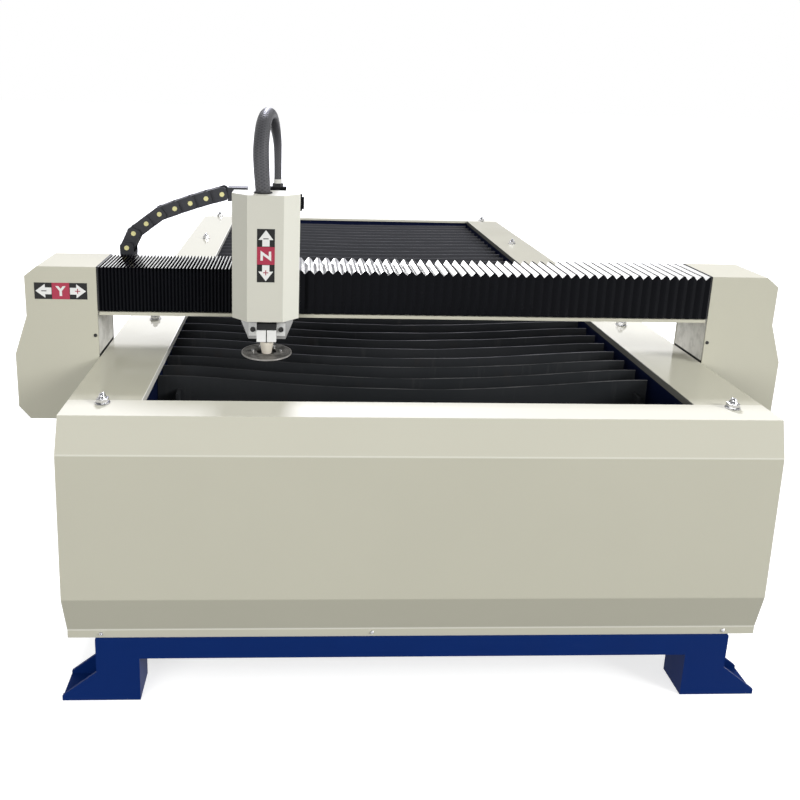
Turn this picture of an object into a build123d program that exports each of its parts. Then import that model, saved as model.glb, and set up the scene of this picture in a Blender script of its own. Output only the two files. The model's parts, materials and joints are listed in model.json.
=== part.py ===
from build123d import *
from math import acos, cos, pi, radians, sin, tan
import os

# A gantry plasma cutting table. Millimetres, +Z up, +Y along the table away from the front panel,
# +X to the right. The origin is on the floor, under the middle of the table.

# Table top
opening_width = 1500.0
opening_length = 3000.0
table_height = 818.0
side_top_width = 195.0
end_top_width = 100.0
sheet = 3.0
outer_lip_drop = 24.0
inner_lip_drop = 20.0
end_lip_drop = 12.0

# Folded end panels: how far each fold stands out from the top edge, and where it lies
panel_fold_out = 19.0
panel_fold_drop = 101.0
panel_low_out = 33.0
panel_low_rise = 121.0
panel_lip_out = 24.0
panel_lip_height = 24.0
panel_flare = 6.5
panel_lip_inset = 3.5

# Welded base
foot_inset = 2.0
foot_width = 116.0
foot_depth = 100.0
foot_height = 130.0
foot_reach = 94.0
foot_toe_height = 15.0
foot_slope_rise = 88.0
foot_plate = 8.0
base_tube_height = 60.0
base_tube_wall = 5.0
base_front_out = 32.0
post_size = 80.0
post_inset = 100.0
bearer_size = 60.0
side_beam_width = 100.0
side_beam_height = 163.0
side_beam_wall = 6.0
side_beam_end_gap = 10.0
apron_top_drop = 213.0

# Slag tray, combs and slats
tray_side_gap = 5.0
tray_top_gap = 6.0
tray_depth = 256.0
slat_pitch = 87.0
slat_thickness = 4.0
slat_height = 100.0
slat_left_gap = 2.0
slat_right_gap = 26.0
slat_drop = 21.0
slat_front_margin = 238.0
slat_rear_margin = 45.0
comb_thickness = 8.0
comb_inset = 65.0
notch_depth = 60.0
notch_clearance = 0.4

# Linear guides and racks
rail_width = 20.0
rail_height = 17.5
rail_drop = 48.0
rail_end_gap = 30.0
block_height = 30.0
block_width = 44.0
block_length = 70.0
block_lift = 4.6
guide_clearance = 0.4
rack_width = 24.0
rack_body = 16.0
rack_drop = 98.0
rack_end_gap = 170.0
gear_module = 8.0
pinion_teeth = 10
pressure_angle = 20.0
addendum_factor = 0.7
dedendum_factor = 0.9
backlash = 0.5
shaft_radius = 10.0
shaft_clearance = 0.08

# Gantry at rest
leg_setback = 439.0
leg_gap = 3.0
leg_depth = 190.0
leg_height = 488.0
leg_neck_width = 213.0
leg_belly_width = 253.0
leg_top_chamfer = (38.0, 30.0)
leg_bottom_chamfer = (34.0, 40.0)
leg_neck_drop = 155.0
leg_belly_drop = 277.0
leg_sheet = 3.0
gantry_plate_thickness = 15.0
gantry_plate_margin = 8.0
gantry_plate_skirt = 12.0
leg_block_spacing = 96.0
motor_size = 86.0
motor_length = 120.0
motor_flange = 10.0
pinion_width = 22.0

# Cross beam and its covers
beam_clearance = 142.0
beam_height = 100.0
beam_depth = 120.0
beam_wall = 8.0
beam_front_gap = 45.0
beam_rail_inset = 24.0
beam_rail_width = 15.0
beam_rail_height = 15.0
beam_block_width = 34.0
beam_block_length = 60.0
beam_block_lift = 4.0
beam_rack_gap = 6.0
beam_rack_height = 18.0
beam_rack_end_gap = 158.0
beam_pinion_lift = 1.0
end_plate_thickness = 5.0
bellows_front = 2.0
bellows_width = 184.0
bellows_rise = 40.0
bellows_bottom_gap = 3.0
bellows_rear_drop = 60.0
bellows_wall = 1.6
bellows_gap = 0.3
folds_left = 38
folds_right = 45
fold_depth_left = 17.0
fold_depth_right = 13.0
strip_drop = 9.5
strip_sheet = 3.0
strip_reach = 98.0
chain_tray_width = 70.0
chain_tray_wall = 2.5
chain_tray_height = 52.0
chain_tray_end_gap = 3.0
tray_bracket_spacing = 600.0
tray_bracket_width = 40.0

# Carriage at rest, centred on carriage_x
carriage_x = -437.5
carriage_half = 97.0
carriage_plate_front = 3.0
carriage_plate_thickness = 12.0
carriage_plate_height = 237.0
carriage_block_spacing = 132.0
frame_thickness = 3.0
frame_band = 10.0
shelf_gap = 16.0
shelf_thickness = 10.0
shelf_half = 60.0
cross_motor_size = 80.0
cross_motor_height = 88.0
cover_sheet = 2.0
cover_facet_width = 104.0
cover_facet_depth = 46.0
cover_front = 104.0
cover_bottom_gap = 7.0
cover_height = 373.0
lift_axis = -9.5
lift_bracket_thickness = 10.0
lift_motor_size = 42.0
lift_motor_height = 66.0
lift_screw_radius = 6.0
lift_screw_end_gap = 22.0
lift_rail_x = 62.0
lift_rail_width = 15.0
lift_rail_height = 12.5
lift_block_width = 34.0
lift_block_length = 45.0
lift_block_gap = 10.0
lift_block_back = 3.5

# Torch on its lifting slide, at rest
torch_standoff = 41.0
torch_shift = 4.0
slide_back = -22.0
slide_thickness = 10.0
slide_half = 78.0
slide_toe_half = 56.0
slide_height = 208.0
slide_taper = 56.0
slide_toe_gap = -5.0
nut_size = 24.0
nut_drop = 40.0
torch_axis = -52.0
torch_radius = 17.0
barrel_height = 108.0
clamp_half = 29.0
clamp_split = 3.0
clamp_gap = 4.0
clamp_height = 36.0
clamp_depth = 46.0
yoke_height = 19.0
ear_x = 42.5
ear_width = 26.0
ear_height = 42.0
ear_drop = 8.0
ear_thickness = 8.0
clamp_bolt_radius = 8.0
clamp_bolt_height = 6.0
cup_height = 41.0
cup_shoulder = 10.0
cup_top_radius = 20.0
cup_bottom_radius = 14.0
nozzle_length = 14.0
nozzle_radius = 9.0
nozzle_tip_radius = 4.0
guard_radius = 75.5
guard_inner_radius = 30.0
guard_thickness = 4.0
hub_radius = 50.0
hub_thickness = 12.0
hub_rise = 5.0
ring_screw_circle = 42.0
ring_screw_angles = (0.0, 60.0, 120.0, 180.0)
ring_screw_radius = 5.0
ring_screw_height = 5.0
seat_clearance = 0.2

# Drag chain: a link's heading is measured down from the run to the left
chain_pitch = 53.0
chain_start_x = -152.5
chain_rise = 99.5
chain_y = 228.0
chain_half_width = 31.0
chain_half_height = 22.0
chain_plate = 4.0
chain_play = 0.3
chain_tray_clearance = 2.0
chain_end_reach = 17.0
chain_corner = 8.0
chain_bar_width = 20.0
chain_lid_width = 44.0
chain_cap_radius = 8.0
chain_cap_height = 1.5
chain_cap_sides = 8
chain_headings = (16.0, 18.0, 20.0, 21.0, 37.0, 38.0, 64.0, 91.0, 118.0, 145.0, 172.0)
chain_tray_links = 10
arm_sheet = 6.0
arm_left = -92.0
arm_web_lap = 88.0
anchor_length = 62.0

# Torch lead: points along X and depth from the carriage, and height over the torch cover
sleeve_radius = 23.0
lead_radius = 12.0
lead_sides = 12
lead_points = (
    (-9.5, -48.0, -2.0),
    (-14.5, -52.0, 65.0),
    (-17.5, -42.0, 140.0),
    (-9.5, 28.0, 220.0),
    (7.5, 125.0, 222.0),
    (23.5, 195.0, 147.0),
    (25.5, 205.0, 70.0),
    (25.5, 205.0, 12.0),
)
grommet_flange = 3.0
grommet_wall = 4.0
grommet_clearance = 0.8
gland_radius = 15.0
gland_height = 12.0
collar_radius = 13.0
collar_height = 13.0
gland_plate = 4.0
gland_plate_half = 28.0

# Cap nuts along the table top
cap_nut_inset = 95.0
cap_nut_end_inset = 80.0
cap_nut_rows = 5
cap_washer_radius = 20.0
cap_washer_height = 4.0
cap_nut_flats = 30.0
cap_nut_height = 12.0
cap_dome_radius = 9.0
cap_dome_height = 14.0
small_round_sides = 10

# Places that follow from those sizes
half_opening = opening_width / 2
half_opening_length = opening_length / 2
half_width = half_opening + side_top_width
half_length = half_opening_length + end_top_width
base_top_z = foot_height + base_tube_height
foot_inner_x = half_opening + foot_inset
foot_outer_x = foot_inner_x + foot_width
base_front_y = half_length + base_front_out
top_under_z = table_height - sheet
panel_fold_z = table_height - panel_fold_drop
panel_low_z = base_top_z + panel_low_rise
panel_lip_z = base_top_z + panel_lip_height
panel_fold_half = half_width + panel_flare
panel_lip_half = half_width - panel_lip_inset
apron_top_z = table_height - apron_top_drop
leg_inner_x = half_width + leg_gap
side_beam_outer_x = leg_inner_x - block_height
side_beam_inner_x = side_beam_outer_x - side_beam_width
side_beam_bottom_z = top_under_z - side_beam_height
tray_top_z = table_height - tray_top_gap
tray_floor_z = tray_top_z - tray_depth
tray_half = half_opening + tray_side_gap
tray_half_length = half_opening_length + tray_side_gap
slat_top_z = table_height - slat_drop
slat_bottom_z = slat_top_z - slat_height
slat_count = int((opening_length - slat_front_margin - slat_rear_margin) // slat_pitch) + 1
slat_start_y = slat_front_margin - half_opening_length
rail_z = table_height - rail_drop
rack_pitch_z = table_height - rack_drop
tooth_pitch = pi * gear_module
pitch_radius = gear_module * pinion_teeth / 2
addendum = addendum_factor * gear_module
dedendum = dedendum_factor * gear_module
pinion_passage = pitch_radius + addendum + gear_module
pinion_z = rack_pitch_z - pitch_radius
leg_front_y = -half_length + leg_setback
leg_middle_y = leg_front_y + leg_depth / 2
plate_outer_x = leg_inner_x + gantry_plate_thickness
beam_bottom_z = table_height + beam_clearance
beam_top_z = beam_bottom_z + beam_height
beam_front_y = leg_front_y + beam_front_gap
beam_rear_y = beam_front_y + beam_depth
beam_rail_z = (beam_bottom_z + beam_rail_inset, beam_top_z - beam_rail_inset)
beam_half_span = leg_inner_x - end_plate_thickness
beam_pitch_y = beam_front_y + beam_rack_gap + rack_body
cross_pinion_y = beam_pitch_y + pitch_radius
bellows_top_z = beam_top_z + bellows_rise
bellows_bottom_z = beam_bottom_z + bellows_bottom_gap
leg_top_z = bellows_top_z
leg_bottom_z = leg_top_z - leg_height
carriage_back_y = leg_front_y + carriage_plate_front + carriage_plate_thickness
carriage_plate_bottom_z = bellows_bottom_z
carriage_plate_top_z = carriage_plate_bottom_z + carriage_plate_height
cover_half = carriage_half + cover_sheet
cover_bottom_z = beam_bottom_z + cover_bottom_gap
cover_top_z = cover_bottom_z + cover_height
shelf_z = beam_top_z + beam_rack_height + shelf_gap
torch_x = carriage_x + torch_shift
nozzle_tip_z = slat_top_z + torch_standoff
cup_bottom_z = nozzle_tip_z + nozzle_length
cup_top_z = cup_bottom_z + cup_height
hub_bottom_z = nozzle_tip_z + hub_rise
hub_top_z = hub_bottom_z + hub_thickness
clamp_bottom_z = cup_top_z + clamp_gap
clamp_top_z = clamp_bottom_z + clamp_height
yoke_top_z = clamp_top_z + yoke_height
ear_z = clamp_top_z - ear_drop
slide_bottom_z = clamp_bottom_z + slide_toe_gap
slide_top_z = slide_bottom_z + slide_height
slide_front = slide_back - slide_thickness
chain_middle_y = leg_front_y + chain_y
chain_start_z = carriage_plate_top_z + chain_rise
arm_top_z = chain_start_z - chain_half_height
gland_z = cover_top_z + lead_points[-1][2]


def block(x, y, z):
    """A box between three pairs of limits."""
    size = Box(x[1] - x[0], y[1] - y[0], z[1] - z[0])
    return Pos(sum(x) / 2, sum(y) / 2, sum(z) / 2) * size


def prism_x(points, x):
    """A closed outline of (y, z) points, drawn along X."""
    wire = Polyline(*[(x[0], y, z) for y, z in points], close=True)
    return extrude(make_face(wire), x[1] - x[0], dir=(1, 0, 0))


def prism_y(points, y):
    """A closed outline of (x, z) points, drawn along Y."""
    wire = Polyline(*[(x, y[0], z) for x, z in points], close=True)
    return extrude(make_face(wire), y[1] - y[0], dir=(0, 1, 0))


def prism_z(points, z):
    """A closed outline of (x, y) points, drawn along Z."""
    wire = Polyline(*[(x, y, z[0]) for x, y in points], close=True)
    return extrude(make_face(wire), z[1] - z[0], dir=(0, 0, 1))


def rod(start, direction, radius, length):
    """A round bar from a point along a direction."""
    return extrude(Plane(origin=start, z_dir=direction) * Circle(radius), length)


def faceted_rod(start, direction, radius, length, sides):
    """A bar of many sides, for small round pieces."""
    return extrude(Plane(origin=start, z_dir=direction) * RegularPolygon(radius, sides), length)


def tube(x, y, z, wall, along):
    """A rectangular tube with open ends along one axis."""
    limits = [x, y, z]
    inner = [(low + wall, high - wall) for low, high in limits]
    axis = "xyz".index(along)
    inner[axis] = limits[axis]
    return block(x, y, z) - block(*inner)


def both_sides(piece):
    """A piece and its mirror image across the middle of the table."""
    return [piece, mirror(piece, about=Plane.YZ)]


def group(pieces):
    """Separate solids that share one node."""
    solids = []
    for piece in pieces:
        solids.extend(piece.solids())
    return Compound(solids)


def end_panel():
    """The front panel: one sheet folded over the end of the table, with a return at each side."""

    def outer_shape(inset, back_y, bottom_z):
        profile = [
            (-half_length + inset, table_height - inset),
            (-half_length - panel_fold_out + inset, panel_fold_z),
            (-half_length - panel_low_out + inset, panel_low_z),
            (-half_length - panel_lip_out + inset, panel_lip_z),
            (-half_length - panel_lip_out + inset, bottom_z),
            (back_y, bottom_z),
            (back_y, table_height - inset),
        ]
        outline = [
            (half_width - inset, table_height - inset),
            (panel_fold_half - inset, panel_fold_z),
            (panel_fold_half - inset, panel_low_z),
            (panel_lip_half - inset, panel_lip_z),
            (panel_lip_half - inset, bottom_z),
        ]
        outline += [(-x, z) for x, z in reversed(outline)]
        length = prism_x(profile, (-panel_fold_half, panel_fold_half))
        return length & prism_y(outline, (-half_length - panel_low_out, back_y))

    back_y = -half_opening_length
    shell = outer_shape(0, back_y, base_top_z) - outer_shape(sheet, back_y + sheet, base_top_z - sheet)
    lip_z = (table_height - end_lip_drop, top_under_z)
    return shell + block((-half_opening, half_opening), (back_y - sheet, back_y), lip_z)


def side_cover():
    """The flat top on the right of the opening, with its edges turned down."""
    profile = [
        (half_opening, table_height - inner_lip_drop),
        (half_opening, table_height),
        (half_width, table_height),
        (half_width, table_height - outer_lip_drop),
        (half_width - sheet, table_height - outer_lip_drop),
        (half_width - sheet, top_under_z),
        (half_opening + sheet, top_under_z),
        (half_opening + sheet, table_height - inner_lip_drop),
    ]
    return prism_y(profile, (-half_opening_length, half_opening_length))


def side_apron():
    """The folded lower side sheet on the right, hung on the posts below the slot for the gantry."""
    profile = [
        (foot_outer_x, apron_top_z),
        (half_width, apron_top_z),
        (panel_fold_half, panel_low_z),
        (panel_lip_half, panel_lip_z),
        (panel_lip_half, base_top_z),
        (foot_outer_x, base_top_z),
        (foot_outer_x, base_top_z + sheet),
        (panel_lip_half - sheet, base_top_z + sheet),
        (panel_lip_half - sheet, panel_lip_z),
        (panel_fold_half - sheet, panel_low_z),
        (half_width - sheet, apron_top_z - sheet),
        (foot_outer_x, apron_top_z - sheet),
    ]
    return prism_y(profile, (-half_opening_length, half_opening_length))


def foot(front_y):
    """A right-hand foot: two flared gusset plates, a boxed leg between them and a floor plate."""
    toe_x = foot_outer_x + foot_reach
    gusset = [
        (foot_inner_x, 0),
        (toe_x, 0),
        (toe_x, foot_toe_height),
        (foot_outer_x, foot_slope_rise),
        (foot_outer_x, foot_height),
        (foot_inner_x, foot_height),
    ]
    back_y = front_y + foot_depth
    inside_y = (front_y + foot_plate, back_y - foot_plate)
    body = prism_y(gusset, (front_y, front_y + foot_plate))
    body += prism_y(gusset, (back_y - foot_plate, back_y))
    body += block((foot_inner_x, foot_inner_x + foot_plate), inside_y, (0, foot_height))
    body += block((foot_outer_x - foot_plate, foot_outer_x), inside_y, (0, foot_height))
    body += block((foot_inner_x, toe_x), inside_y, (0, foot_plate))
    return body


def base_rows():
    """Front edges of the three rows of feet and cross tubes, from the front to the back."""
    return (-base_front_y, -foot_depth / 2, base_front_y - foot_depth)


def feet():
    pieces = []
    for front_y in base_rows():
        pieces += both_sides(foot(front_y))
    return group(pieces)


def base_tubes():
    """Three cross tubes over the feet, and the long tubes between them."""
    level = (foot_height, base_top_z)
    pieces = []
    rows = base_rows()
    for front_y in rows:
        cross_y = (front_y, front_y + foot_depth)
        pieces.append(tube((-foot_outer_x, foot_outer_x), cross_y, level, base_tube_wall, "x"))
    for row in range(len(rows) - 1):
        run = (rows[row] + foot_depth, rows[row + 1])
        pieces += both_sides(tube((foot_inner_x, foot_outer_x), run, level, base_tube_wall, "y"))
    return group(pieces)


def frame_posts():
    """Posts under the side beams, and bearers across the table that carry the slag tray."""
    post_x = (foot_outer_x - post_size, foot_outer_x)
    post_z = (base_top_z, side_beam_bottom_z)
    bearer_x = (-post_x[0], post_x[0])
    bearer_z = (tray_floor_z - bearer_size, tray_floor_z)
    end_y = half_opening_length - post_inset
    pieces = []
    for y in (-end_y, 0, end_y):
        post_y = (y - post_size / 2, y + post_size / 2)
        bearer_y = (y - bearer_size / 2, y + bearer_size / 2)
        pieces += both_sides(tube(post_x, post_y, post_z, base_tube_wall, "z"))
        pieces.append(tube(bearer_x, bearer_y, bearer_z, base_tube_wall, "x"))
    return group(pieces)


def side_beams():
    """The long tubes that carry the guide rails."""
    half = half_length - side_beam_end_gap
    beam = tube(
        (side_beam_inner_x, side_beam_outer_x),
        (-half, half),
        (side_beam_bottom_z, top_under_z),
        side_beam_wall,
        "y",
    )
    return group(both_sides(beam))


def slag_tray():
    """The open tray under the slats."""
    outer_x = (-tray_half - sheet, tray_half + sheet)
    outer_y = (-tray_half_length - sheet, tray_half_length + sheet)
    tray = block(outer_x, outer_y, (tray_floor_z, tray_top_z))
    inside_x = (-tray_half, tray_half)
    inside_y = (-tray_half_length, tray_half_length)
    return tray - block(inside_x, inside_y, (tray_floor_z + sheet, tray_top_z + sheet))


def slat_positions():
    return [slat_start_y + index * slat_pitch for index in range(slat_count)]


def slats():
    """Upright strips across the opening, pushed against its left side."""
    slat_x = (slat_left_gap - tray_half, tray_half - slat_right_gap)
    edge = slat_thickness / 2
    slat_z = (slat_bottom_z, slat_top_z)
    return group([block(slat_x, (y - edge, y + edge), slat_z) for y in slat_positions()])


def slat_combs():
    """Two notched plates on the tray floor that hold the slats upright."""
    top_z = slat_bottom_z + notch_depth
    notch_half = slat_thickness / 2 + notch_clearance
    front_y = slat_start_y - slat_pitch / 2
    rear_y = front_y + slat_count * slat_pitch
    outline = [(front_y, top_z)]
    for y in slat_positions():
        outline += [
            (y - notch_half, top_z),
            (y - notch_half, slat_bottom_z),
            (y + notch_half, slat_bottom_z),
            (y + notch_half, top_z),
        ]
    outline += [(rear_y, top_z), (rear_y, tray_floor_z + sheet), (front_y, tray_floor_z + sheet)]
    half = comb_thickness / 2
    outer_x = tray_half - comb_inset
    return group([prism_x(outline, (x - half, x + half)) for x in (-outer_x, outer_x)])


def table_rails():
    half = half_length - rail_end_gap
    rail_x = (side_beam_outer_x, side_beam_outer_x + rail_height)
    rail = block(rail_x, (-half, half), (rail_z - rail_width / 2, rail_z + rail_width / 2))
    return group(both_sides(rail))


def rack_outline(half, tooth_at):
    """Rack teeth as (along, height above the pitch line) points, with a tooth centred on tooth_at."""
    slope = tan(radians(pressure_angle))
    pitch_half = tooth_pitch / 4 - backlash / 4
    tip = pitch_half - addendum * slope
    root = pitch_half + dedendum * slope
    first = -int((half + tooth_at) // tooth_pitch - 1)
    last = int((half - tooth_at) // tooth_pitch - 1)
    points = [(-half, -dedendum)]
    for index in range(first, last + 1):
        middle = tooth_at + index * tooth_pitch
        points += [
            (middle - root, -dedendum),
            (middle - tip, addendum),
            (middle + tip, addendum),
            (middle + root, -dedendum),
        ]
    points.append((half, -dedendum))
    return points


def table_racks():
    """Racks along the side beams, teeth down, in mesh with the gantry pinions at rest."""
    top_z = rack_pitch_z + rack_body
    half = half_length - rack_end_gap
    outline = [(along, rack_pitch_z - height) for along, height in rack_outline(half, leg_middle_y)]
    outline += [(half, top_z), (-half, top_z)]
    rack = prism_x(outline, (side_beam_outer_x, side_beam_outer_x + rack_width))
    return group(both_sides(rack))


def pinion_outline():
    """Tooth points (radius, angle), with a gap centred on angle 0."""
    base_radius = pitch_radius * cos(radians(pressure_angle))
    outer = pitch_radius + addendum
    root = pitch_radius - dedendum

    def involute(radius):
        angle = acos(base_radius / radius)
        return tan(angle) - angle

    half_at_pitch = pi / (2 * pinion_teeth) - backlash / (4 * pitch_radius)

    def half_angle(radius):
        return half_at_pitch + involute(pitch_radius) - involute(radius)

    flank = [(root, half_angle(base_radius)), (pitch_radius, half_at_pitch), (outer, half_angle(outer))]
    points = []
    for index in range(pinion_teeth):
        middle = (index + 0.5) * 2 * pi / pinion_teeth
        points += [(radius, middle - angle) for radius, angle in flank]
        points += [(radius, middle + angle) for radius, angle in reversed(flank)]
    return points


def leg_pinion():
    """The right-hand pinion under its rack, on a shaft that runs out into the motor."""
    inner_x = side_beam_outer_x + (rack_width - pinion_width) / 2
    outline = []
    for radius, angle in pinion_outline():
        outline.append((leg_middle_y + radius * sin(angle), pinion_z + radius * cos(angle)))
    gear = prism_x(outline, (inner_x, inner_x + pinion_width))
    shaft_length = plate_outer_x + motor_flange - inner_x
    return gear + rod((inner_x, leg_middle_y, pinion_z), (1, 0, 0), shaft_radius, shaft_length)


def leg_motor():
    """The right-hand drive motor, flanged to the outside of its gantry plate."""
    half = motor_size / 2
    end_x = plate_outer_x + motor_flange + motor_length
    around_y = (leg_middle_y - half, leg_middle_y + half)
    around_z = (pinion_z - half, pinion_z + half)
    body = block((plate_outer_x, end_x), around_y, around_z)
    corners = body.edges().filter_by(Axis.X)
    body = chamfer(corners, motor_size / 12)
    bore_radius = shaft_radius + shaft_clearance
    return body - rod((plate_outer_x, leg_middle_y, pinion_z), (1, 0, 0), bore_radius, motor_flange)


def leg_outline(inset):
    """Front outline of the right leg cover, its wall moved in by inset."""
    top_x, top_z = leg_top_chamfer
    bottom_x, bottom_z = leg_bottom_chamfer
    neck_x = leg_inner_x + leg_neck_width
    belly_x = leg_inner_x + leg_belly_width
    return [
        (leg_inner_x, leg_top_z - inset),
        (neck_x - top_x - inset / 2, leg_top_z - inset),
        (neck_x - inset, leg_top_z - top_z - inset / 2),
        (neck_x - inset, leg_top_z - leg_neck_drop),
        (belly_x - inset, leg_top_z - leg_belly_drop),
        (belly_x - inset, leg_bottom_z + bottom_z),
        (belly_x - bottom_x - inset, leg_bottom_z),
        (leg_inner_x, leg_bottom_z),
    ]


def leg_cover():
    """The right leg cover: a folded case, open below and towards the table."""
    back_y = leg_front_y + leg_depth
    case = prism_y(leg_outline(0), (leg_front_y, back_y))
    hollow = prism_y(leg_outline(leg_sheet), (leg_front_y + leg_sheet, back_y - leg_sheet))
    return case - hollow


def gantry_plates():
    """Side plates that join the beam to the guide blocks."""
    plate_y = (leg_front_y + gantry_plate_margin, leg_front_y + leg_depth - gantry_plate_margin)
    plate_z = (pinion_z - pinion_passage - gantry_plate_skirt, leg_top_z - gantry_plate_margin)
    plate = block((leg_inner_x, plate_outer_x), plate_y, plate_z)
    plate -= rod((leg_inner_x, leg_middle_y, pinion_z), (1, 0, 0), pinion_passage, gantry_plate_thickness)
    return group(both_sides(plate))


def leg_bearings():
    """Two guide blocks on each rail, bolted to the gantry plates."""
    half_z = block_width / 2
    half_y = block_length / 2
    groove_z = rail_width / 2 + guide_clearance
    groove_x = side_beam_outer_x + rail_height + guide_clearance
    pieces = []
    for y in (leg_middle_y - leg_block_spacing / 2, leg_middle_y + leg_block_spacing / 2):
        around_y = (y - half_y, y + half_y)
        around_x = (side_beam_outer_x + block_lift, leg_inner_x)
        body = block(around_x, around_y, (rail_z - half_z, rail_z + half_z))
        groove = block((side_beam_outer_x, groove_x), around_y, (rail_z - groove_z, rail_z + groove_z))
        pieces += both_sides(body - groove)
    return group(pieces)


def beam():
    return tube(
        (-leg_inner_x, leg_inner_x),
        (beam_front_y, beam_rear_y),
        (beam_bottom_z, beam_top_z),
        beam_wall,
        "x",
    )


def beam_rails():
    rail_x = (-beam_half_span, beam_half_span)
    rail_y = (beam_front_y - beam_rail_height, beam_front_y)
    edge = beam_rail_width / 2
    return group([block(rail_x, rail_y, (z - edge, z + edge)) for z in beam_rail_z])


def beam_rack():
    """A rack on top of the beam, teeth to the back, in mesh with the carriage pinion at rest."""
    front_y = beam_pitch_y - rack_body
    half = beam_half_span - beam_rack_end_gap
    outline = [(along, beam_pitch_y + height) for along, height in rack_outline(half, carriage_x)]
    outline += [(half, front_y), (-half, front_y)]
    return prism_z(outline, (beam_top_z, beam_top_z + beam_rack_height))


def bellows_shape(x_low, x_high, folds, fold_depth, wall):
    """The space under a pleated arch: its plan and its front view, both zigzag lines, drawn and crossed."""
    step = (x_high - x_low) / (2 * folds)
    steps = [(x_low + step * index, wall + fold_depth * (index % 2)) for index in range(2 * folds + 1)]
    front_y = leg_front_y + bellows_front
    rear_y = front_y + bellows_width
    plan = [(x, front_y + sink) for x, sink in steps] + [(x, rear_y - sink) for x, sink in reversed(steps)]
    view = [(x, bellows_top_z - sink) for x, sink in steps]
    view += [(x_high, bellows_bottom_z), (x_low, bellows_bottom_z)]
    return prism_z(plan, (bellows_bottom_z, bellows_top_z)) & prism_y(view, (front_y, rear_y))


def bellows(x_low, x_high, folds, fold_depth):
    """A pleated arch over the beam, with its back cut shorter than its front."""
    arch = bellows_shape(x_low, x_high, folds, fold_depth, 0)
    arch -= bellows_shape(x_low, x_high, folds, fold_depth, bellows_wall)
    middle_y = leg_front_y + bellows_front + bellows_width / 2
    back = (middle_y, middle_y + bellows_width)
    return arch - block((x_low, x_high), back, (bellows_bottom_z, bellows_top_z - bellows_rear_drop))


def arch_plate(x, band):
    """A flat arch that a bellows is fixed to."""
    front_y = leg_front_y + bellows_front
    rear_y = front_y + bellows_width
    rear_z = bellows_top_z - bellows_rear_drop
    outline = [
        (front_y, bellows_bottom_z),
        (front_y, bellows_top_z),
        (rear_y, bellows_top_z),
        (rear_y, rear_z),
        (rear_y - band, rear_z),
        (rear_y - band, bellows_top_z - band),
        (front_y + band, bellows_top_z - band),
        (front_y + band, bellows_bottom_z),
    ]
    return prism_x(outline, x)


def bellows_left():
    low = -beam_half_span + bellows_gap
    high = carriage_x - cover_half - frame_thickness - bellows_gap
    return bellows(low, high, folds_left, fold_depth_left)


def bellows_right():
    low = carriage_x + cover_half + frame_thickness + bellows_gap
    return bellows(low, beam_half_span - bellows_gap, folds_right, fold_depth_right)


def bellows_plates():
    """The arched end plates that hold the outer ends of the bellows to the legs."""
    return group(both_sides(arch_plate((beam_half_span, leg_inner_x), fold_depth_left)))


def bellows_frames():
    """The arched frames on both sides of the carriage that pull the bellows along."""
    pieces = []
    for side in (-1, 1):
        near = carriage_x + side * cover_half
        pieces.append(arch_plate(sorted((near, near + side * frame_thickness)), frame_band))
    return group(pieces)


def bellows_strip():
    """The folded strip under the beam whose front edge the bellows run along."""
    front = leg_front_y + bellows_front
    profile = [
        (front, beam_bottom_z - strip_drop),
        (front, beam_bottom_z),
        (front + strip_reach, beam_bottom_z),
        (front + strip_reach, beam_bottom_z - strip_sheet),
        (front + strip_sheet, beam_bottom_z - strip_sheet),
        (front + strip_sheet, beam_bottom_z - strip_drop),
    ]
    return prism_x(profile, (-beam_half_span, beam_half_span))


def chain_pins():
    """Hinge points (x, z) of the drag chain, from the carriage to its end in the tray."""
    headings = list(chain_headings) + [180.0] * chain_tray_links
    x = carriage_x + chain_start_x
    z = chain_start_z
    pins = [(x, z)]
    for heading in headings:
        x -= chain_pitch * cos(radians(heading))
        z -= chain_pitch * sin(radians(heading))
        pins.append((x, z))
    return pins


def chain_tray():
    """The channel behind the beam that the drag chain lies in, on three brackets."""
    floor_z = chain_pins()[-1][1] - chain_half_height - chain_tray_clearance
    low_y = chain_middle_y - chain_tray_width / 2
    high_y = chain_middle_y + chain_tray_width / 2
    wall = chain_tray_wall
    profile = [
        (low_y - wall, floor_z - wall),
        (low_y - wall, floor_z + chain_tray_height),
        (low_y, floor_z + chain_tray_height),
        (low_y, floor_z),
        (high_y, floor_z),
        (high_y, floor_z + chain_tray_height),
        (high_y + wall, floor_z + chain_tray_height),
        (high_y + wall, floor_z - wall),
    ]
    end_x = beam_half_span - chain_tray_end_gap
    tray = prism_x(profile, (-end_x, end_x))
    half = tray_bracket_width / 2
    for x in (-tray_bracket_spacing, 0, tray_bracket_spacing):
        bracket_z = (beam_bottom_z + beam_wall, floor_z + chain_tray_height - wall)
        tray += block((x - half, x + half), (beam_rear_y, low_y - wall), bracket_z)
    return tray


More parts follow.
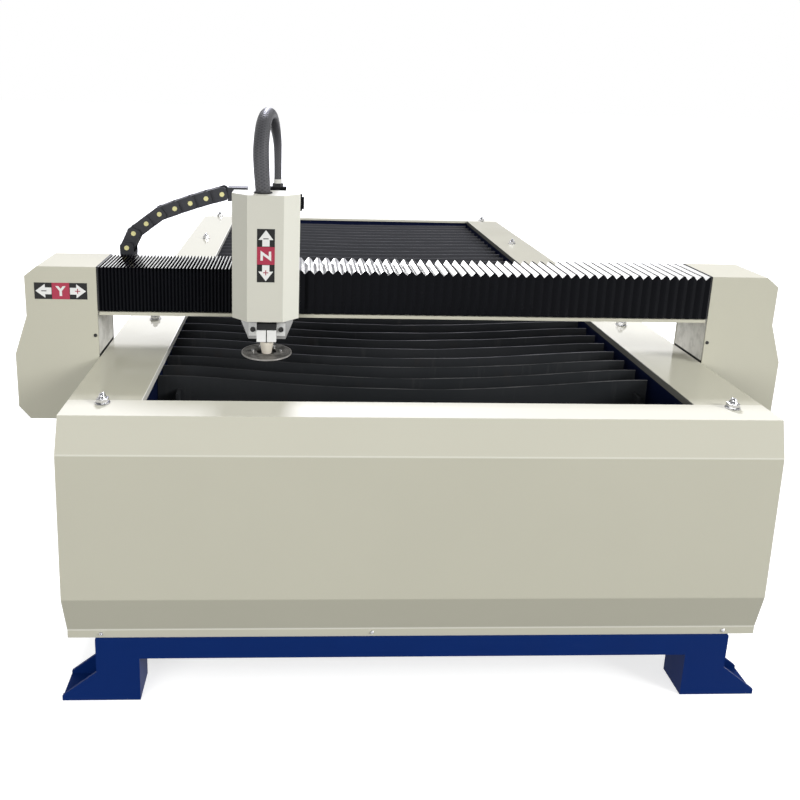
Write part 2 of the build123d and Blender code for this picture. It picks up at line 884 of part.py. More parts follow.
def chain_link(start, end):
    """One link between two hinge points: side plates that lap outside and inside their neighbours."""
    reach = chain_end_reach
    high = chain_half_height
    inside = high - chain_corner
    waist = chain_pitch / 2
    far = chain_pitch + reach
    near = waist - chain_corner
    tail = [(-reach, -inside), (chain_corner - reach, -high), (waist, -high)]
    tail += [(x, -z) for x, z in reversed(tail)]
    head = [(near, -high), (far - chain_corner, -high), (far, -inside)]
    head += [(x, -z) for x, z in reversed(head)]
    outer = (chain_half_width - chain_plate, chain_half_width)
    lapped = (outer[0] - chain_play - chain_plate, outer[0] - chain_play)
    link = prism_y(tail, outer) + prism_y(head, lapped)
    link += block((near, waist), (lapped[0], outer[1]), (-high, high))
    link += mirror(link, about=Plane.XZ)
    lid = (chain_lid_width, (-high, chain_plate - high))
    bar = (chain_bar_width, (high - chain_plate, high))
    for width, around_z in (lid, bar):
        link += block((waist - width / 2, waist + width / 2), (-lapped[0], lapped[0]), around_z)
    along = (end[0] - start[0], 0, end[1] - start[1])
    across = Vector(*along).cross(Vector(0, 1, 0)).normalized()
    place = Plane(origin=(start[0], chain_middle_y, start[1]), x_dir=along, z_dir=across)
    return place * link


def drag_chain():
    """The linked chain, with the bracket that fixes its first link to the carriage arm."""
    pins = chain_pins()
    pieces = [chain_link(pins[index], pins[index + 1]) for index in range(len(pins) - 1)]
    low_x = pins[0][0] + chain_end_reach + chain_play
    half_y = chain_half_width - chain_plate
    level = (chain_start_z - chain_half_height, chain_start_z + chain_half_height)
    across = (chain_middle_y - half_y, chain_middle_y + half_y)
    pieces.append(tube((low_x, low_x + anchor_length), across, level, chain_plate, "x"))
    return group(pieces)


def chain_caps():
    """The round hinge caps on both sides of each joint."""
    pieces = []
    for x, z in chain_pins()[:-1]:
        for side in (-1, 1):
            start = (x, chain_middle_y + side * chain_half_width, z)
            out = (0, side, 0)
            pieces.append(faceted_rod(start, out, chain_cap_radius, chain_cap_height, chain_cap_sides))
    return group(pieces)


def carriage_plate():
    """The upright plate that rides on the beam and carries the lift."""
    around_y = (leg_front_y + carriage_plate_front, carriage_back_y)
    around_x = (carriage_x - carriage_half, carriage_x + carriage_half)
    return block(around_x, around_y, (carriage_plate_bottom_z, carriage_plate_top_z))


def carriage_bearings():
    """Guide blocks between the carriage plate and the two rails on the beam."""
    half_x = beam_block_length / 2
    half_z = beam_block_width / 2
    groove_z = beam_rail_width / 2 + guide_clearance
    groove_y = beam_front_y - beam_rail_height - guide_clearance
    pieces = []
    for x in (carriage_x - carriage_block_spacing / 2, carriage_x + carriage_block_spacing / 2):
        for z in beam_rail_z:
            around_x = (x - half_x, x + half_x)
            around_y = (carriage_back_y, beam_front_y - beam_block_lift)
            body = block(around_x, around_y, (z - half_z, z + half_z))
            groove = block(around_x, (groove_y, beam_front_y), (z - groove_z, z + groove_z))
            pieces.append(body - groove)
    return group(pieces)


def motor_shelf():
    """The shelf over the beam that holds the cross motor."""
    around_x = (carriage_x - shelf_half, carriage_x + shelf_half)
    around_y = (carriage_back_y, cross_pinion_y + shelf_half)
    shelf = block(around_x, around_y, (shelf_z, shelf_z + shelf_thickness))
    passage = shaft_radius + gear_module
    return shelf - rod((carriage_x, cross_pinion_y, shelf_z), (0, 0, 1), passage, shelf_thickness)


def cross_motor():
    half = cross_motor_size / 2
    low_z = shelf_z + shelf_thickness
    around_x = (carriage_x - half, carriage_x + half)
    around_y = (cross_pinion_y - half, cross_pinion_y + half)
    body = block(around_x, around_y, (low_z, low_z + cross_motor_height))
    body = chamfer(body.edges().filter_by(Axis.Z), cross_motor_size / 12)
    bore_radius = shaft_radius + shaft_clearance
    return body - rod((carriage_x, cross_pinion_y, low_z), (0, 0, 1), bore_radius, motor_flange)


def cross_pinion():
    """The carriage pinion behind the beam rack, on a shaft that runs up into the cross motor."""
    low_z = beam_top_z + beam_pinion_lift
    outline = []
    for radius, angle in pinion_outline():
        outline.append((carriage_x + radius * sin(angle), cross_pinion_y - radius * cos(angle)))
    gear = prism_z(outline, (low_z, beam_top_z + beam_rack_height))
    length = shelf_z + shelf_thickness + motor_flange - low_z
    return gear + rod((carriage_x, cross_pinion_y, low_z), (0, 0, 1), shaft_radius, length)


def cover_outline(inset, back_y):
    """Plan of the torch cover: a flat front between two slanted facets and two straight sides."""
    facet_y = leg_front_y - cover_front + cover_facet_depth
    front_y = leg_front_y - cover_front
    front_half = cover_facet_width / 2
    slant = inset * 0.42
    half = cover_half - inset
    return [
        (carriage_x - half, back_y),
        (carriage_x - half, facet_y + slant),
        (carriage_x - front_half + slant, front_y + inset),
        (carriage_x + front_half - slant, front_y + inset),
        (carriage_x + half, facet_y + slant),
        (carriage_x + half, back_y),
    ]


def torch_cover():
    """The folded cover round the lift, open below and, under its back sheet, to the carriage plate."""
    case = prism_z(cover_outline(0, carriage_back_y), (cover_bottom_z, cover_top_z))
    hollow_z = (cover_bottom_z, cover_top_z - cover_sheet)
    case -= prism_z(cover_outline(cover_sheet, carriage_back_y - cover_sheet), hollow_z)
    case -= prism_z(cover_outline(cover_sheet, carriage_back_y), (cover_bottom_z, carriage_plate_top_z))
    entry_x, entry_y, _ = lead_points[0]
    entry = (carriage_x + entry_x, leg_front_y + entry_y, cover_top_z - cover_sheet)
    return case - rod(entry, (0, 0, 1), sleeve_radius + grommet_clearance, cover_sheet)


def lift_bracket():
    """The plate across the top of the carriage plate that carries the lift motor."""
    back_y = carriage_back_y - cover_sheet
    around_y = (leg_front_y + lift_axis - lift_motor_size, back_y)
    top_z = carriage_plate_top_z + lift_bracket_thickness
    plate = block((carriage_x - shelf_half, carriage_x + shelf_half), around_y, (carriage_plate_top_z, top_z))
    axis_point = (carriage_x, leg_front_y + lift_axis, carriage_plate_top_z)
    return plate - rod(axis_point, (0, 0, 1), lift_screw_radius + shaft_clearance, lift_bracket_thickness)


def lift_motor():
    half = lift_motor_size / 2
    low_z = carriage_plate_top_z + lift_bracket_thickness
    middle_y = leg_front_y + lift_axis
    around_x = (carriage_x - half, carriage_x + half)
    around_y = (middle_y - half, middle_y + half)
    body = block(around_x, around_y, (low_z, low_z + lift_motor_height))
    body = chamfer(body.edges().filter_by(Axis.Z), lift_motor_size / 12)
    bore_radius = lift_screw_radius + shaft_clearance
    return body - rod((carriage_x, middle_y, low_z), (0, 0, 1), bore_radius, motor_flange)


def lift_screw():
    top_z = carriage_plate_top_z + lift_bracket_thickness + motor_flange
    bottom_z = carriage_plate_bottom_z + lift_screw_end_gap
    start = (carriage_x, leg_front_y + lift_axis, bottom_z)
    return rod(start, (0, 0, 1), lift_screw_radius, top_z - bottom_z)


def lift_rails():
    """Two upright rails on the front of the carriage plate."""
    front_y = leg_front_y + carriage_plate_front
    rail_y = (front_y - lift_rail_height, front_y)
    pieces = []
    for side in (-1, 1):
        x = carriage_x + side * lift_rail_x
        around_x = (x - lift_rail_width / 2, x + lift_rail_width / 2)
        pieces.append(block(around_x, rail_y, (carriage_plate_bottom_z, carriage_plate_top_z)))
    return group(pieces)


def lift_bearings():
    """Guide blocks on the back of the lifting slide."""
    front_y = leg_front_y + slide_back
    rail_front_y = leg_front_y + carriage_plate_front - lift_rail_height
    back_y = leg_front_y + carriage_plate_front - lift_block_back
    groove_half = lift_rail_width / 2 + guide_clearance
    pieces = []
    for side in (-1, 1):
        x = carriage_x + side * lift_rail_x
        for low_z in (slide_top_z - lift_block_length, slide_top_z - 2 * lift_block_length - lift_block_gap):
            level = (low_z, low_z + lift_block_length)
            body = block((x - lift_block_width / 2, x + lift_block_width / 2), (front_y, back_y), level)
            groove_y = (rail_front_y - guide_clearance, back_y)
            pieces.append(body - block((x - groove_half, x + groove_half), groove_y, level))
    return group(pieces)


def lift_slide():
    """The lifting slide: a plate that tapers to the torch clamp."""
    outline = [
        (slide_half, slide_top_z),
        (slide_half, slide_bottom_z + slide_taper),
        (slide_toe_half, slide_bottom_z),
    ]
    points = [(torch_x + x, z) for x, z in outline] + [(torch_x - x, z) for x, z in reversed(outline)]
    return prism_y(points, (leg_front_y + slide_front, leg_front_y + slide_back))


def lift_nut():
    """The nut block behind the slide, round the lift screw."""
    half = nut_size / 2
    middle_y = leg_front_y + lift_axis
    low_z = slide_top_z - nut_drop
    around_x = (carriage_x - half, carriage_x + half)
    body = block(around_x, (leg_front_y + slide_back, middle_y + half), (low_z, low_z + nut_size))
    bore_radius = lift_screw_radius + shaft_clearance
    return body - rod((carriage_x, middle_y, low_z), (0, 0, 1), bore_radius, nut_size)


def torch_point(z):
    return (torch_x, leg_front_y + torch_axis, z)


def torch_clamp():
    """Two clamp blocks that close on the torch, and the square lugs that bolt them to the slide."""
    bore = rod(torch_point(clamp_bottom_z), (0, 0, 1), torch_radius, clamp_top_z - clamp_bottom_z)
    back_y = leg_front_y + slide_front
    around_y = (back_y - clamp_depth, back_y)
    ear_y = (back_y - ear_thickness, back_y)
    around_z = (ear_z - ear_height / 2, ear_z + ear_height / 2)
    pieces = []
    for side in (-1, 1):
        ends = sorted((torch_x + side * clamp_split / 2, torch_x + side * clamp_half))
        pieces.append(block(ends, around_y, (clamp_bottom_z, clamp_top_z)) - bore)
        x = torch_x + side * ear_x
        pieces.append(block((x - ear_width / 2, x + ear_width / 2), ear_y, around_z))
    return group(pieces)


def torch_screws():
    """Cap screws in the lugs, and the screws that hold the guard ring to its hub."""
    pieces = []
    front_y = leg_front_y + slide_front - ear_thickness
    for side in (-1, 1):
        start = (torch_x + side * ear_x, front_y, ear_z)
        pieces.append(faceted_rod(start, (0, -1, 0), clamp_bolt_radius, clamp_bolt_height, small_round_sides))
    ring_top_z = hub_top_z + guard_thickness
    for angle in ring_screw_angles:
        x, y, _ = torch_point(0)
        x += ring_screw_circle * cos(radians(angle))
        y += ring_screw_circle * sin(radians(angle))
        start = (x, y, ring_top_z)
        pieces.append(faceted_rod(start, (0, 0, 1), ring_screw_radius, ring_screw_height, small_round_sides))
    return group(pieces)


def torch_body():
    """The machine torch: a straight barrel, with a square yoke above the clamp."""
    barrel = rod(torch_point(cup_top_z), (0, 0, 1), torch_radius, yoke_top_z + barrel_height - cup_top_z)
    back_y = leg_front_y + slide_front
    around_y = (back_y - clamp_depth + clamp_split, back_y)
    yoke = block((torch_x - clamp_half, torch_x + clamp_half), around_y, (clamp_top_z, yoke_top_z))
    return barrel + yoke


def turned(profile):
    """A solid of revolution on the torch axis, from (radius, z) points."""
    points = [(torch_x + radius, leg_front_y + torch_axis, z) for radius, z in profile]
    return revolve(make_face(Polyline(*points, close=True)), Axis(torch_point(0), (0, 0, 1)))


def torch_cup():
    """The heat-proof retaining cup."""
    return turned(
        [
            (0, cup_top_z),
            (cup_top_radius, cup_top_z),
            (cup_top_radius, cup_top_z - cup_shoulder),
            (cup_bottom_radius, cup_bottom_z),
            (0, cup_bottom_z),
        ]
    )


def torch_nozzle():
    """The cone below the cup."""
    return turned(
        [
            (0, cup_bottom_z),
            (nozzle_radius, cup_bottom_z),
            (nozzle_tip_radius, nozzle_tip_z),
            (0, nozzle_tip_z),
        ]
    )


def guard_ring():
    """The flat ring that stands round the nozzle."""
    ring = rod(torch_point(hub_top_z), (0, 0, 1), guard_radius, guard_thickness)
    return ring - rod(torch_point(hub_top_z), (0, 0, 1), guard_inner_radius, guard_thickness)


def ring_hub():
    """The collar under the ring, seated on the end of the cup."""
    hub = rod(torch_point(hub_bottom_z), (0, 0, 1), hub_radius, hub_thickness)
    slope = (cup_top_radius - cup_bottom_radius) / (cup_height - cup_shoulder)
    bore = cup_bottom_radius + slope * (hub_top_z - cup_bottom_z) + seat_clearance
    return hub - rod(torch_point(hub_bottom_z), (0, 0, 1), bore, hub_thickness)


def chain_arm():
    """The folded arm from the carriage plate back over the beam, with a stand for the lead's gland."""
    around_x = (carriage_x + arm_left, carriage_x + cover_half)
    rear_y = chain_middle_y + chain_tray_width / 2
    web_z = (carriage_plate_top_z - arm_web_lap, arm_top_z)
    arm = block(around_x, (carriage_back_y, carriage_back_y + arm_sheet), web_z)
    arm += block(around_x, (carriage_back_y, rear_y), (arm_top_z - arm_sheet, arm_top_z))
    gland_x, gland_y, _ = lead_points[-1]
    stand_x = (carriage_x + gland_x - gland_plate_half, carriage_x + gland_x + gland_plate_half)
    stand_top_z = gland_z - gland_height - collar_height
    web_y = chain_middle_y - chain_tray_width / 2 - gland_plate
    stand_y = (web_y, leg_front_y + gland_y + gland_radius)
    arm += block(stand_x, (web_y, web_y + gland_plate), (arm_top_z - arm_sheet, stand_top_z))
    arm += block(stand_x, stand_y, (stand_top_z - gland_plate, stand_top_z))
    return arm


def lead_gland():
    """The black gland nut that the torch lead goes down into."""
    x, y, _ = lead_points[-1]
    start = (carriage_x + x, leg_front_y + y, gland_z - gland_height - collar_height)
    nut = extrude(Plane(origin=start) * RegularPolygon(gland_radius, 6, major_radius=False), gland_height)
    return nut


def lead_collar():
    """The pale sealing collar between the gland nut and the lead."""
    x, y, _ = lead_points[-1]
    start = (carriage_x + x, leg_front_y + y, gland_z - collar_height)
    return rod(start, (0, 0, 1), collar_radius, collar_height)


def cover_grommet():
    """The rubber ring where the sleeve goes into the cover."""
    x, y, _ = lead_points[0]
    place = (carriage_x + x, leg_front_y + y, cover_top_z)
    flange = rod(place, (0, 0, 1), sleeve_radius + grommet_wall, grommet_flange)
    return flange - rod(place, (0, 0, 1), sleeve_radius + grommet_clearance, grommet_flange)


def lead_route():
    return [(carriage_x + x, leg_front_y + y, cover_top_z + z) for x, y, z in lead_points]


def lead_radii(route):
    """Bend radii along the lead, each as large as its two runs allow."""
    corners = [Vector(*point) for point in route]
    radii = []
    for before, here, after in zip(corners, corners[1:], corners[2:]):
        turn = (here - before).get_angle(after - here)
        run = min((here - before).length, (after - here).length)
        radii.append(0.45 * run / tan(radians(turn / 2)))
    return radii


def lead_tube(points, radii, radius):
    """A tube of many sides along straight runs joined by arcs."""
    path = FilletPolyline(*points, radius=radii)
    section = Plane(origin=path @ 0, z_dir=path % 0) * RegularPolygon(radius, lead_sides)
    pipe = sweep(section, path=path)
    print("lead volume ratio", round(pipe.volume / (section.area * path.length), 4))
    return pipe


def torch_lead():
    """The torch lead: in a thick sleeve up from the cover, and bare from the top of its loop to the gland."""
    route = lead_route()
    radii = lead_radii(route)
    print("lead radii", [round(radius) for radius in radii])
    join = tuple((a + b) / 2 for a, b in zip(route[3], route[4]))
    sleeve = lead_tube(route[:4] + [join], radii[:3], sleeve_radius)
    return sleeve + lead_tube([join] + route[4:], radii[3:], lead_radius)


def cap_nuts():
    """Washers, nuts and domed caps along both sides of the table top."""
    x = half_width - cap_nut_inset
    pitch = 2 * (half_length - cap_nut_end_inset) / (cap_nut_rows - 1)
    nut_z = table_height + cap_washer_height
    pieces = []
    for row in range(cap_nut_rows):
        y = (row - (cap_nut_rows - 1) / 2) * pitch
        washer_start = (x, y, table_height)
        nut = faceted_rod(washer_start, (0, 0, 1), cap_washer_radius, cap_washer_height, small_round_sides)
        hexagon = Plane(origin=(x, y, nut_z)) * RegularPolygon(cap_nut_flats / 2, 6, major_radius=False)
        nut += extrude(hexagon, cap_nut_height)
        dome_start = (x, y, nut_z + cap_nut_height)
        nut += faceted_rod(dome_start, (0, 0, 1), cap_dome_radius, cap_dome_height, small_round_sides)
        pieces += both_sides(nut)
    return group(pieces)


front_panel = end_panel()
right_cover = side_cover()
right_leg_cover = leg_cover()
right_pinion = leg_pinion()

nodes = {
    "feet": feet(),
    "base_tubes": base_tubes(),
    "frame_posts": frame_posts(),
    "side_beams": side_beams(),
    "front_panel": front_panel,
    "rear_panel": mirror(front_panel, about=Plane.XZ),
    "side_cover_right": right_cover,
    "side_cover_left": mirror(right_cover, about=Plane.YZ),
    "side_aprons": group(both_sides(side_apron())),
    "slag_tray": slag_tray(),
    "slat_combs": slat_combs(),
    "slats": slats(),
    "table_rails": table_rails(),
    "table_racks": table_racks(),
    "cap_nuts": cap_nuts(),
    "beam": beam(),
    "gantry_plates": gantry_plates(),
    "leg_cover_right": right_leg_cover,
    "leg_cover_left": mirror(right_leg_cover, about=Plane.YZ),
    "leg_bearings": leg_bearings(),
    "leg_motors": group(both_sides(leg_motor())),
    "beam_rails": beam_rails(),
    "beam_rack": beam_rack(),
    "bellows_plates": bellows_plates(),
    "bellows_strip": bellows_strip(),
    "bellows_left": bellows_left(),
    "bellows_right": bellows_right(),
    "chain_tray": chain_tray(),
    "pinion_right": right_pinion,
    "pinion_left": mirror(right_pinion, about=Plane.YZ),
    "carriage_plate": carriage_plate(),
    "carriage_bearings": carriage_bearings(),
    "bellows_frames": bellows_frames(),
    "motor_shelf": motor_shelf(),
    "cross_motor": cross_motor(),
    "cross_pinion": cross_pinion(),
    "torch_cover": torch_cover(),
    "lift_bracket": lift_bracket(),
    "lift_motor": lift_motor(),
    "lift_rails": lift_rails(),
    "lift_screw": lift_screw(),
    "chain_arm": chain_arm(),
    "drag_chain": drag_chain(),
    "chain_caps": chain_caps(),
    "cover_grommet": cover_grommet(),
    "lead_gland": lead_gland(),
    "lead_collar": lead_collar(),
    "torch_lead": torch_lead(),
    "lift_slide": lift_slide(),
    "lift_bearings": lift_bearings(),
    "lift_nut": lift_nut(),
    "torch_clamp": torch_clamp(),
    "torch_screws": torch_screws(),
    "torch_body": torch_body(),
    "torch_cup": torch_cup(),
    "torch_nozzle": torch_nozzle(),
    "guard_ring": guard_ring(),
    "ring_hub": ring_hub(),
}

os.makedirs("parts", exist_ok=True)
for name, solid in nodes.items():
    export_step(solid, f"parts/{name}.step")
print(len(nodes), "nodes")
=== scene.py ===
# %% [markdown]
# # A plasma cutting table
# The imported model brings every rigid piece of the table, the gantry and the torch, each at its own
# place. This lesson keeps those pieces where they are and adds what makes them look real: a camera,
# the torch lead, the pleated bellows, the small fasteners, the axis signs, and a finish for every
# surface.

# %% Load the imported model
import json
from math import cos, pi, sin

import bmesh
import bpy
from mathutils import Matrix, Vector


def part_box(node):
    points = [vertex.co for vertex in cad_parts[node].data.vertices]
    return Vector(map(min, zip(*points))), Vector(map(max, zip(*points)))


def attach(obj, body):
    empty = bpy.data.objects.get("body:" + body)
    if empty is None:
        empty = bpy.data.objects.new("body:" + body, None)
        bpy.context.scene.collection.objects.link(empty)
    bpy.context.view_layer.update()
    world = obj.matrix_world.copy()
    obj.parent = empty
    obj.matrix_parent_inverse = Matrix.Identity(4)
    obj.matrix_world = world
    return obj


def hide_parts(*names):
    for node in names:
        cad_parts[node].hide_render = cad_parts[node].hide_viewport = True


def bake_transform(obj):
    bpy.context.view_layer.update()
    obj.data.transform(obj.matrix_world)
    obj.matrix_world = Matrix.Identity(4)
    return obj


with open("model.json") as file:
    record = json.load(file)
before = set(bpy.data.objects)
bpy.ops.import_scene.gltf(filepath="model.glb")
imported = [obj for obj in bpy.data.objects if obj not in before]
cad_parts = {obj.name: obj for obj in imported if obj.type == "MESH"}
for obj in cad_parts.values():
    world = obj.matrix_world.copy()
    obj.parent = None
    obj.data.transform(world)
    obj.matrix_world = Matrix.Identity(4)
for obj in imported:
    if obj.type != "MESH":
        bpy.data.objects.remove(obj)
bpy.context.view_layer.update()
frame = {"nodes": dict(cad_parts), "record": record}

nodes = frame["nodes"]
slot_of = {piece["node"]: piece["material_slot"] for piece in frame["record"]["subparts"]}

# %% [markdown]
# ## The camera
# The photograph was taken from in front, a little left of the middle and from above the gantry. Its
# straight edges give the place of the camera, its angles, and a focal length in pixels. The middle
# of the lens isn't the middle of the picture, so the rest of the framing is a shift of the lens.

# %% Camera
picture = 800
sensor = 36
focal_pixels = 776.26
lens_middle = (335.0, 265.0)
pitch, yaw, roll = 0.224, 0.0484, -0.0272
eye = Vector((-0.3418, -3.4535, 1.6415))

ahead = Vector((sin(yaw) * cos(pitch), cos(yaw) * cos(pitch), -sin(pitch)))
level = Vector((cos(yaw), -sin(yaw), 0))
below = ahead.cross(level)
side = cos(roll) * level + sin(roll) * below
under = cos(roll) * below - sin(roll) * level
axes = Matrix((side, -under, -ahead)).transposed().to_4x4()

camera = bpy.data.objects.new("camera", bpy.data.cameras.new("camera"))
camera.matrix_world = Matrix.Translation(eye) @ axes
camera.data.sensor_width = sensor
camera.data.lens = focal_pixels / picture * sensor
camera.data.shift_x = (picture / 2 - lens_middle[0]) / picture
camera.data.shift_y = (lens_middle[1] - picture / 2) / picture
bpy.context.collection.objects.link(camera)
bpy.context.scene.camera = camera
print("camera lens", round(camera.data.lens, 2), "mm")

# %% [markdown]
# ## The torch lead
# A thick braided sleeve leaves the top of the torch cover, bends over in a loop, and comes down as
# a thinner lead into a gland behind the cover. A cord is best drawn as one smooth NURBS line with a
# few control points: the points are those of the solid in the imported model, and the radius at each
# point gives the taper from sleeve to lead.

# %% Torch lead
lead_points = (
    ((-0.4470, -1.2090, 1.338), 0.0215),
    ((-0.4520, -1.2130, 1.405), 0.0235),
    ((-0.4550, -1.2030, 1.480), 0.0235),
    ((-0.4470, -1.1330, 1.560), 0.0215),
    ((-0.4300, -1.0360, 1.562), 0.0190),
    ((-0.4140, -0.9660, 1.487), 0.0140),
    ((-0.4120, -0.9560, 1.410), 0.0120),
    ((-0.4120, -0.9560, 1.352), 0.0120),
)

lead_curve = bpy.data.curves.new("torch_lead_loop", "CURVE")
lead_curve.dimensions = "3D"
lead_line = lead_curve.splines.new("NURBS")
lead_line.points.add(len(lead_points) - 1)
for point, (place, radius) in zip(lead_line.points, lead_points):
    point.co = (*place, 1)
    point.radius = radius
lead_line.order_u = 3
lead_line.use_endpoint_u = True
lead_line.resolution_u = 16
lead_curve.bevel_depth = 1.0
lead_curve.bevel_resolution = 7
lead_curve.use_fill_caps = True
lead = bpy.data.objects.new("torch_lead_loop", lead_curve)
bpy.context.collection.objects.link(lead)
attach(lead, "carriage")
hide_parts("torch_lead")

# %% [markdown]
# ## Light, floor and background
# The photograph has a white background and the soft light of a wide, bright ceiling: tops are
# nearly white, and faces that look down are dark. A bright world over a floor that throws little
# light back does most of this. A soft box on the right and a weaker one in front model the torch
# cover, and one high over the back lifts the table top and lays the beam's shadow on the side
# covers. Black cloth and smooth paint show what they mirror, so the room in front is dim in
# mirrors, and two dark cards stand far behind, like the wall round a window. The camera doesn't see
# them.

# %% A wrapper for shader maths
class Wire:
    """A socket that can be used in sums: each operator adds a Math node."""

    def __init__(self, finish, socket):
        self.finish = finish
        self.socket = socket

    def sum(self, operation, first, second=0.0):
        settings = {"operation": operation}
        return self.finish.node("ShaderNodeMath", settings, {0: first, 1: second})

    def __add__(self, other):
        return self.sum("ADD", self, other)

    def __radd__(self, other):
        return self.sum("ADD", other, self)

    def __sub__(self, other):
        return self.sum("SUBTRACT", self, other)

    def __rsub__(self, other):
        return self.sum("SUBTRACT", other, self)

    def __mul__(self, other):
        return self.sum("MULTIPLY", self, other)

    def __rmul__(self, other):
        return self.sum("MULTIPLY", other, self)

    def __pow__(self, other):
        return self.sum("POWER", self, other)

    def __abs__(self):
        return self.sum("ABSOLUTE", self)

    def at_least(self, other):
        return self.sum("MAXIMUM", self, other)


class Finish:
    """One node tree, of a material or of the world."""

    def __init__(self, owner):
        self.owner = owner
        owner.use_nodes = True
        self.tree = owner.node_tree
        self.tree.nodes.clear()

    def node(self, kind, settings=None, sockets=None, out=0):
        """Any node: its type, its settings, then the values or wires of its sockets."""
        made = self.tree.nodes.new(kind)
        for key, value in (settings or {}).items():
            setattr(made, key, value)
        for key, value in (sockets or {}).items():
            if isinstance(value, Wire):
                self.tree.links.new(value.socket, made.inputs[key])
            else:
                made.inputs[key].default_value = value
        return Wire(self, made.outputs[out]) if made.outputs else made

    def part(self, vector, letter):
        """One of the three numbers of a vector."""
        return self.node("ShaderNodeSeparateXYZ", None, {0: vector}, out="XYZ".index(letter))

    def mix(self, share, low, high):
        """A colour between two, by a share from 0 to 1."""
        pair = [colour if isinstance(colour, Wire) else (*colour, 1) for colour in (low, high)]
        sockets = {0: share, 6: pair[0], 7: pair[1]}
        return self.node("ShaderNodeMix", {"data_type": "RGBA"}, sockets, out=2)

    def band(self, value, low, high):
        """0 below low, 1 above high, and smooth between."""
        sockets = {"Value": value, "From Min": low, "From Max": high}
        return self.node("ShaderNodeMapRange", {"interpolation_type": "SMOOTHSTEP"}, sockets)


# %% World
def looked_at(finish):
    """1 for what is seen, by the camera or in a mirror or glass, and 0 for light on a surface."""
    kinds = ("Is Camera Ray", "Is Glossy Ray", "Is Transmission Ray")
    rays = [finish.node("ShaderNodeLightPath", out=kind) for kind in kinds]
    return rays[0].at_least(rays[1]).at_least(rays[2])


world = bpy.data.worlds.new("studio")
bpy.context.scene.world = world
sky = Finish(world)
heading = sky.node("ShaderNodeTexCoord")
overhead = sky.band(sky.part(heading, "Z"), 0.0, 0.9)
ceiling = sky.mix(overhead, (0.82, 0.83, 0.81), (1.0, 1.0, 0.985))
room = sky.node("ShaderNodeBackground", None, {"Color": ceiling, "Strength": 0.64})
seen_by_camera = sky.node("ShaderNodeLightPath", out="Is Camera Ray")
behind = sky.band(sky.part(heading, "Y"), -0.10, 0.30).at_least(seen_by_camera)
mirrored = sky.mix(behind, (0.16, 0.165, 0.18), (1, 1, 1))
white = sky.node("ShaderNodeBackground", None, {"Color": mirrored})
backdrop = sky.node("ShaderNodeMixShader", None, {0: looked_at(sky), 1: room, 2: white})
sky.node("ShaderNodeOutputWorld", None, {"Surface": backdrop})
bpy.context.scene.view_settings.view_transform = "Standard"
print("world", world.name)


# %% Soft boxes
def softbox(name, place, target, size, watts, colour=(1, 1, 1)):
    lamp = bpy.data.lights.new(name, "AREA")
    lamp.shape = "RECTANGLE"
    lamp.size, lamp.size_y = size
    lamp.energy = watts
    lamp.color = colour
    box = bpy.data.objects.new(name, lamp)
    aim = (Vector(target) - Vector(place)).to_track_quat("-Z", "Y")
    box.matrix_world = Matrix.Translation(place) @ aim.to_matrix().to_4x4()
    box.visible_camera = False
    bpy.context.collection.objects.link(box)
    return box


bluish = (0.98, 0.98, 1.14)
softbox("side_softbox", (8.6, -6.4, 5.2), (0.0, -1.2, 0.8), (4.0, 4.0), 860.0)
softbox("fill_softbox", (-4.4, -8.2, 2.9), (0.0, -1.2, 0.7), (5.0, 3.0), 300.0)
softbox("rear_softbox", (0.56, 17.6, 16.6), (0.0, -1.3, 0.8), (3.2, 3.2), 6500.0, bluish)
print("soft boxes", len(bpy.data.lights))


# %% Floor and cards
def stage_sheet(name, size, place, tilt):
    """A flat sheet of the studio, with a finish of its own."""
    shape = bmesh.new()
    bmesh.ops.create_grid(shape, x_segments=1, y_segments=1, size=0.5)
    bmesh.ops.scale(shape, verts=shape.verts, vec=(*size, 1))
    turn = Matrix.Translation(place) @ Matrix.Rotation(tilt, 4, "X")
    bmesh.ops.transform(shape, matrix=turn, verts=shape.verts)
    mesh = bpy.data.meshes.new(name)
    shape.to_mesh(mesh)
    shape.free()
    sheet = bpy.data.objects.new(name, mesh)
    bpy.context.collection.objects.link(sheet)
    finish = Finish(bpy.data.materials.new(name))
    mesh.materials.append(finish.owner)
    return sheet, finish


floor, ground = stage_sheet("floor", (120, 120), (0, 0, -0.0006), 0)
dull = ground.node("ShaderNodeBsdfDiffuse", None, {"Color": (0.05, 0.05, 0.05, 1)})
pale = ground.node("ShaderNodeBsdfDiffuse", None, {"Color": (0.62, 0.62, 0.62, 1)})
glow = ground.node("ShaderNodeEmission", None, {"Color": (1, 1, 1, 1), "Strength": 0.66})
shown = ground.node("ShaderNodeAddShader", None, {0: pale, 1: glow})
surface = ground.node("ShaderNodeMixShader", None, {0: looked_at(ground), 1: dull, 2: shown})
ground.node("ShaderNodeOutputMaterial", None, {"Surface": surface})

cards = (
    ("dark_card", (9.0, 3.4), (5.0, 12.0, 4.0)),
    ("high_card", (6.5, 3.4), (-4.2, 12.6, 7.3)),
)
for name, size, place in cards:
    card, felt = stage_sheet(name, size, place, pi / 2)
    black = felt.node("ShaderNodeBsdfDiffuse", None, {"Color": (0.004, 0.004, 0.004, 1)})
    felt.node("ShaderNodeOutputMaterial", None, {"Surface": black})
    card.visible_camera = False
    card.visible_diffuse = False
    card.visible_shadow = False
print("stage", floor.name, [card[0] for card in cards])

# %% [markdown]
# ## Finishes
# Each finish is a material of its own. They share a few habits: patterns read Object coordinates,
# so a pattern sticks to its piece, and small noises change the colour, the roughness and the bump
# at the scale of the real surface. A fixed number goes straight on the shader's own socket.
# Finishes of one kind stand in a table, with one line of values each, and one function makes them
# all.

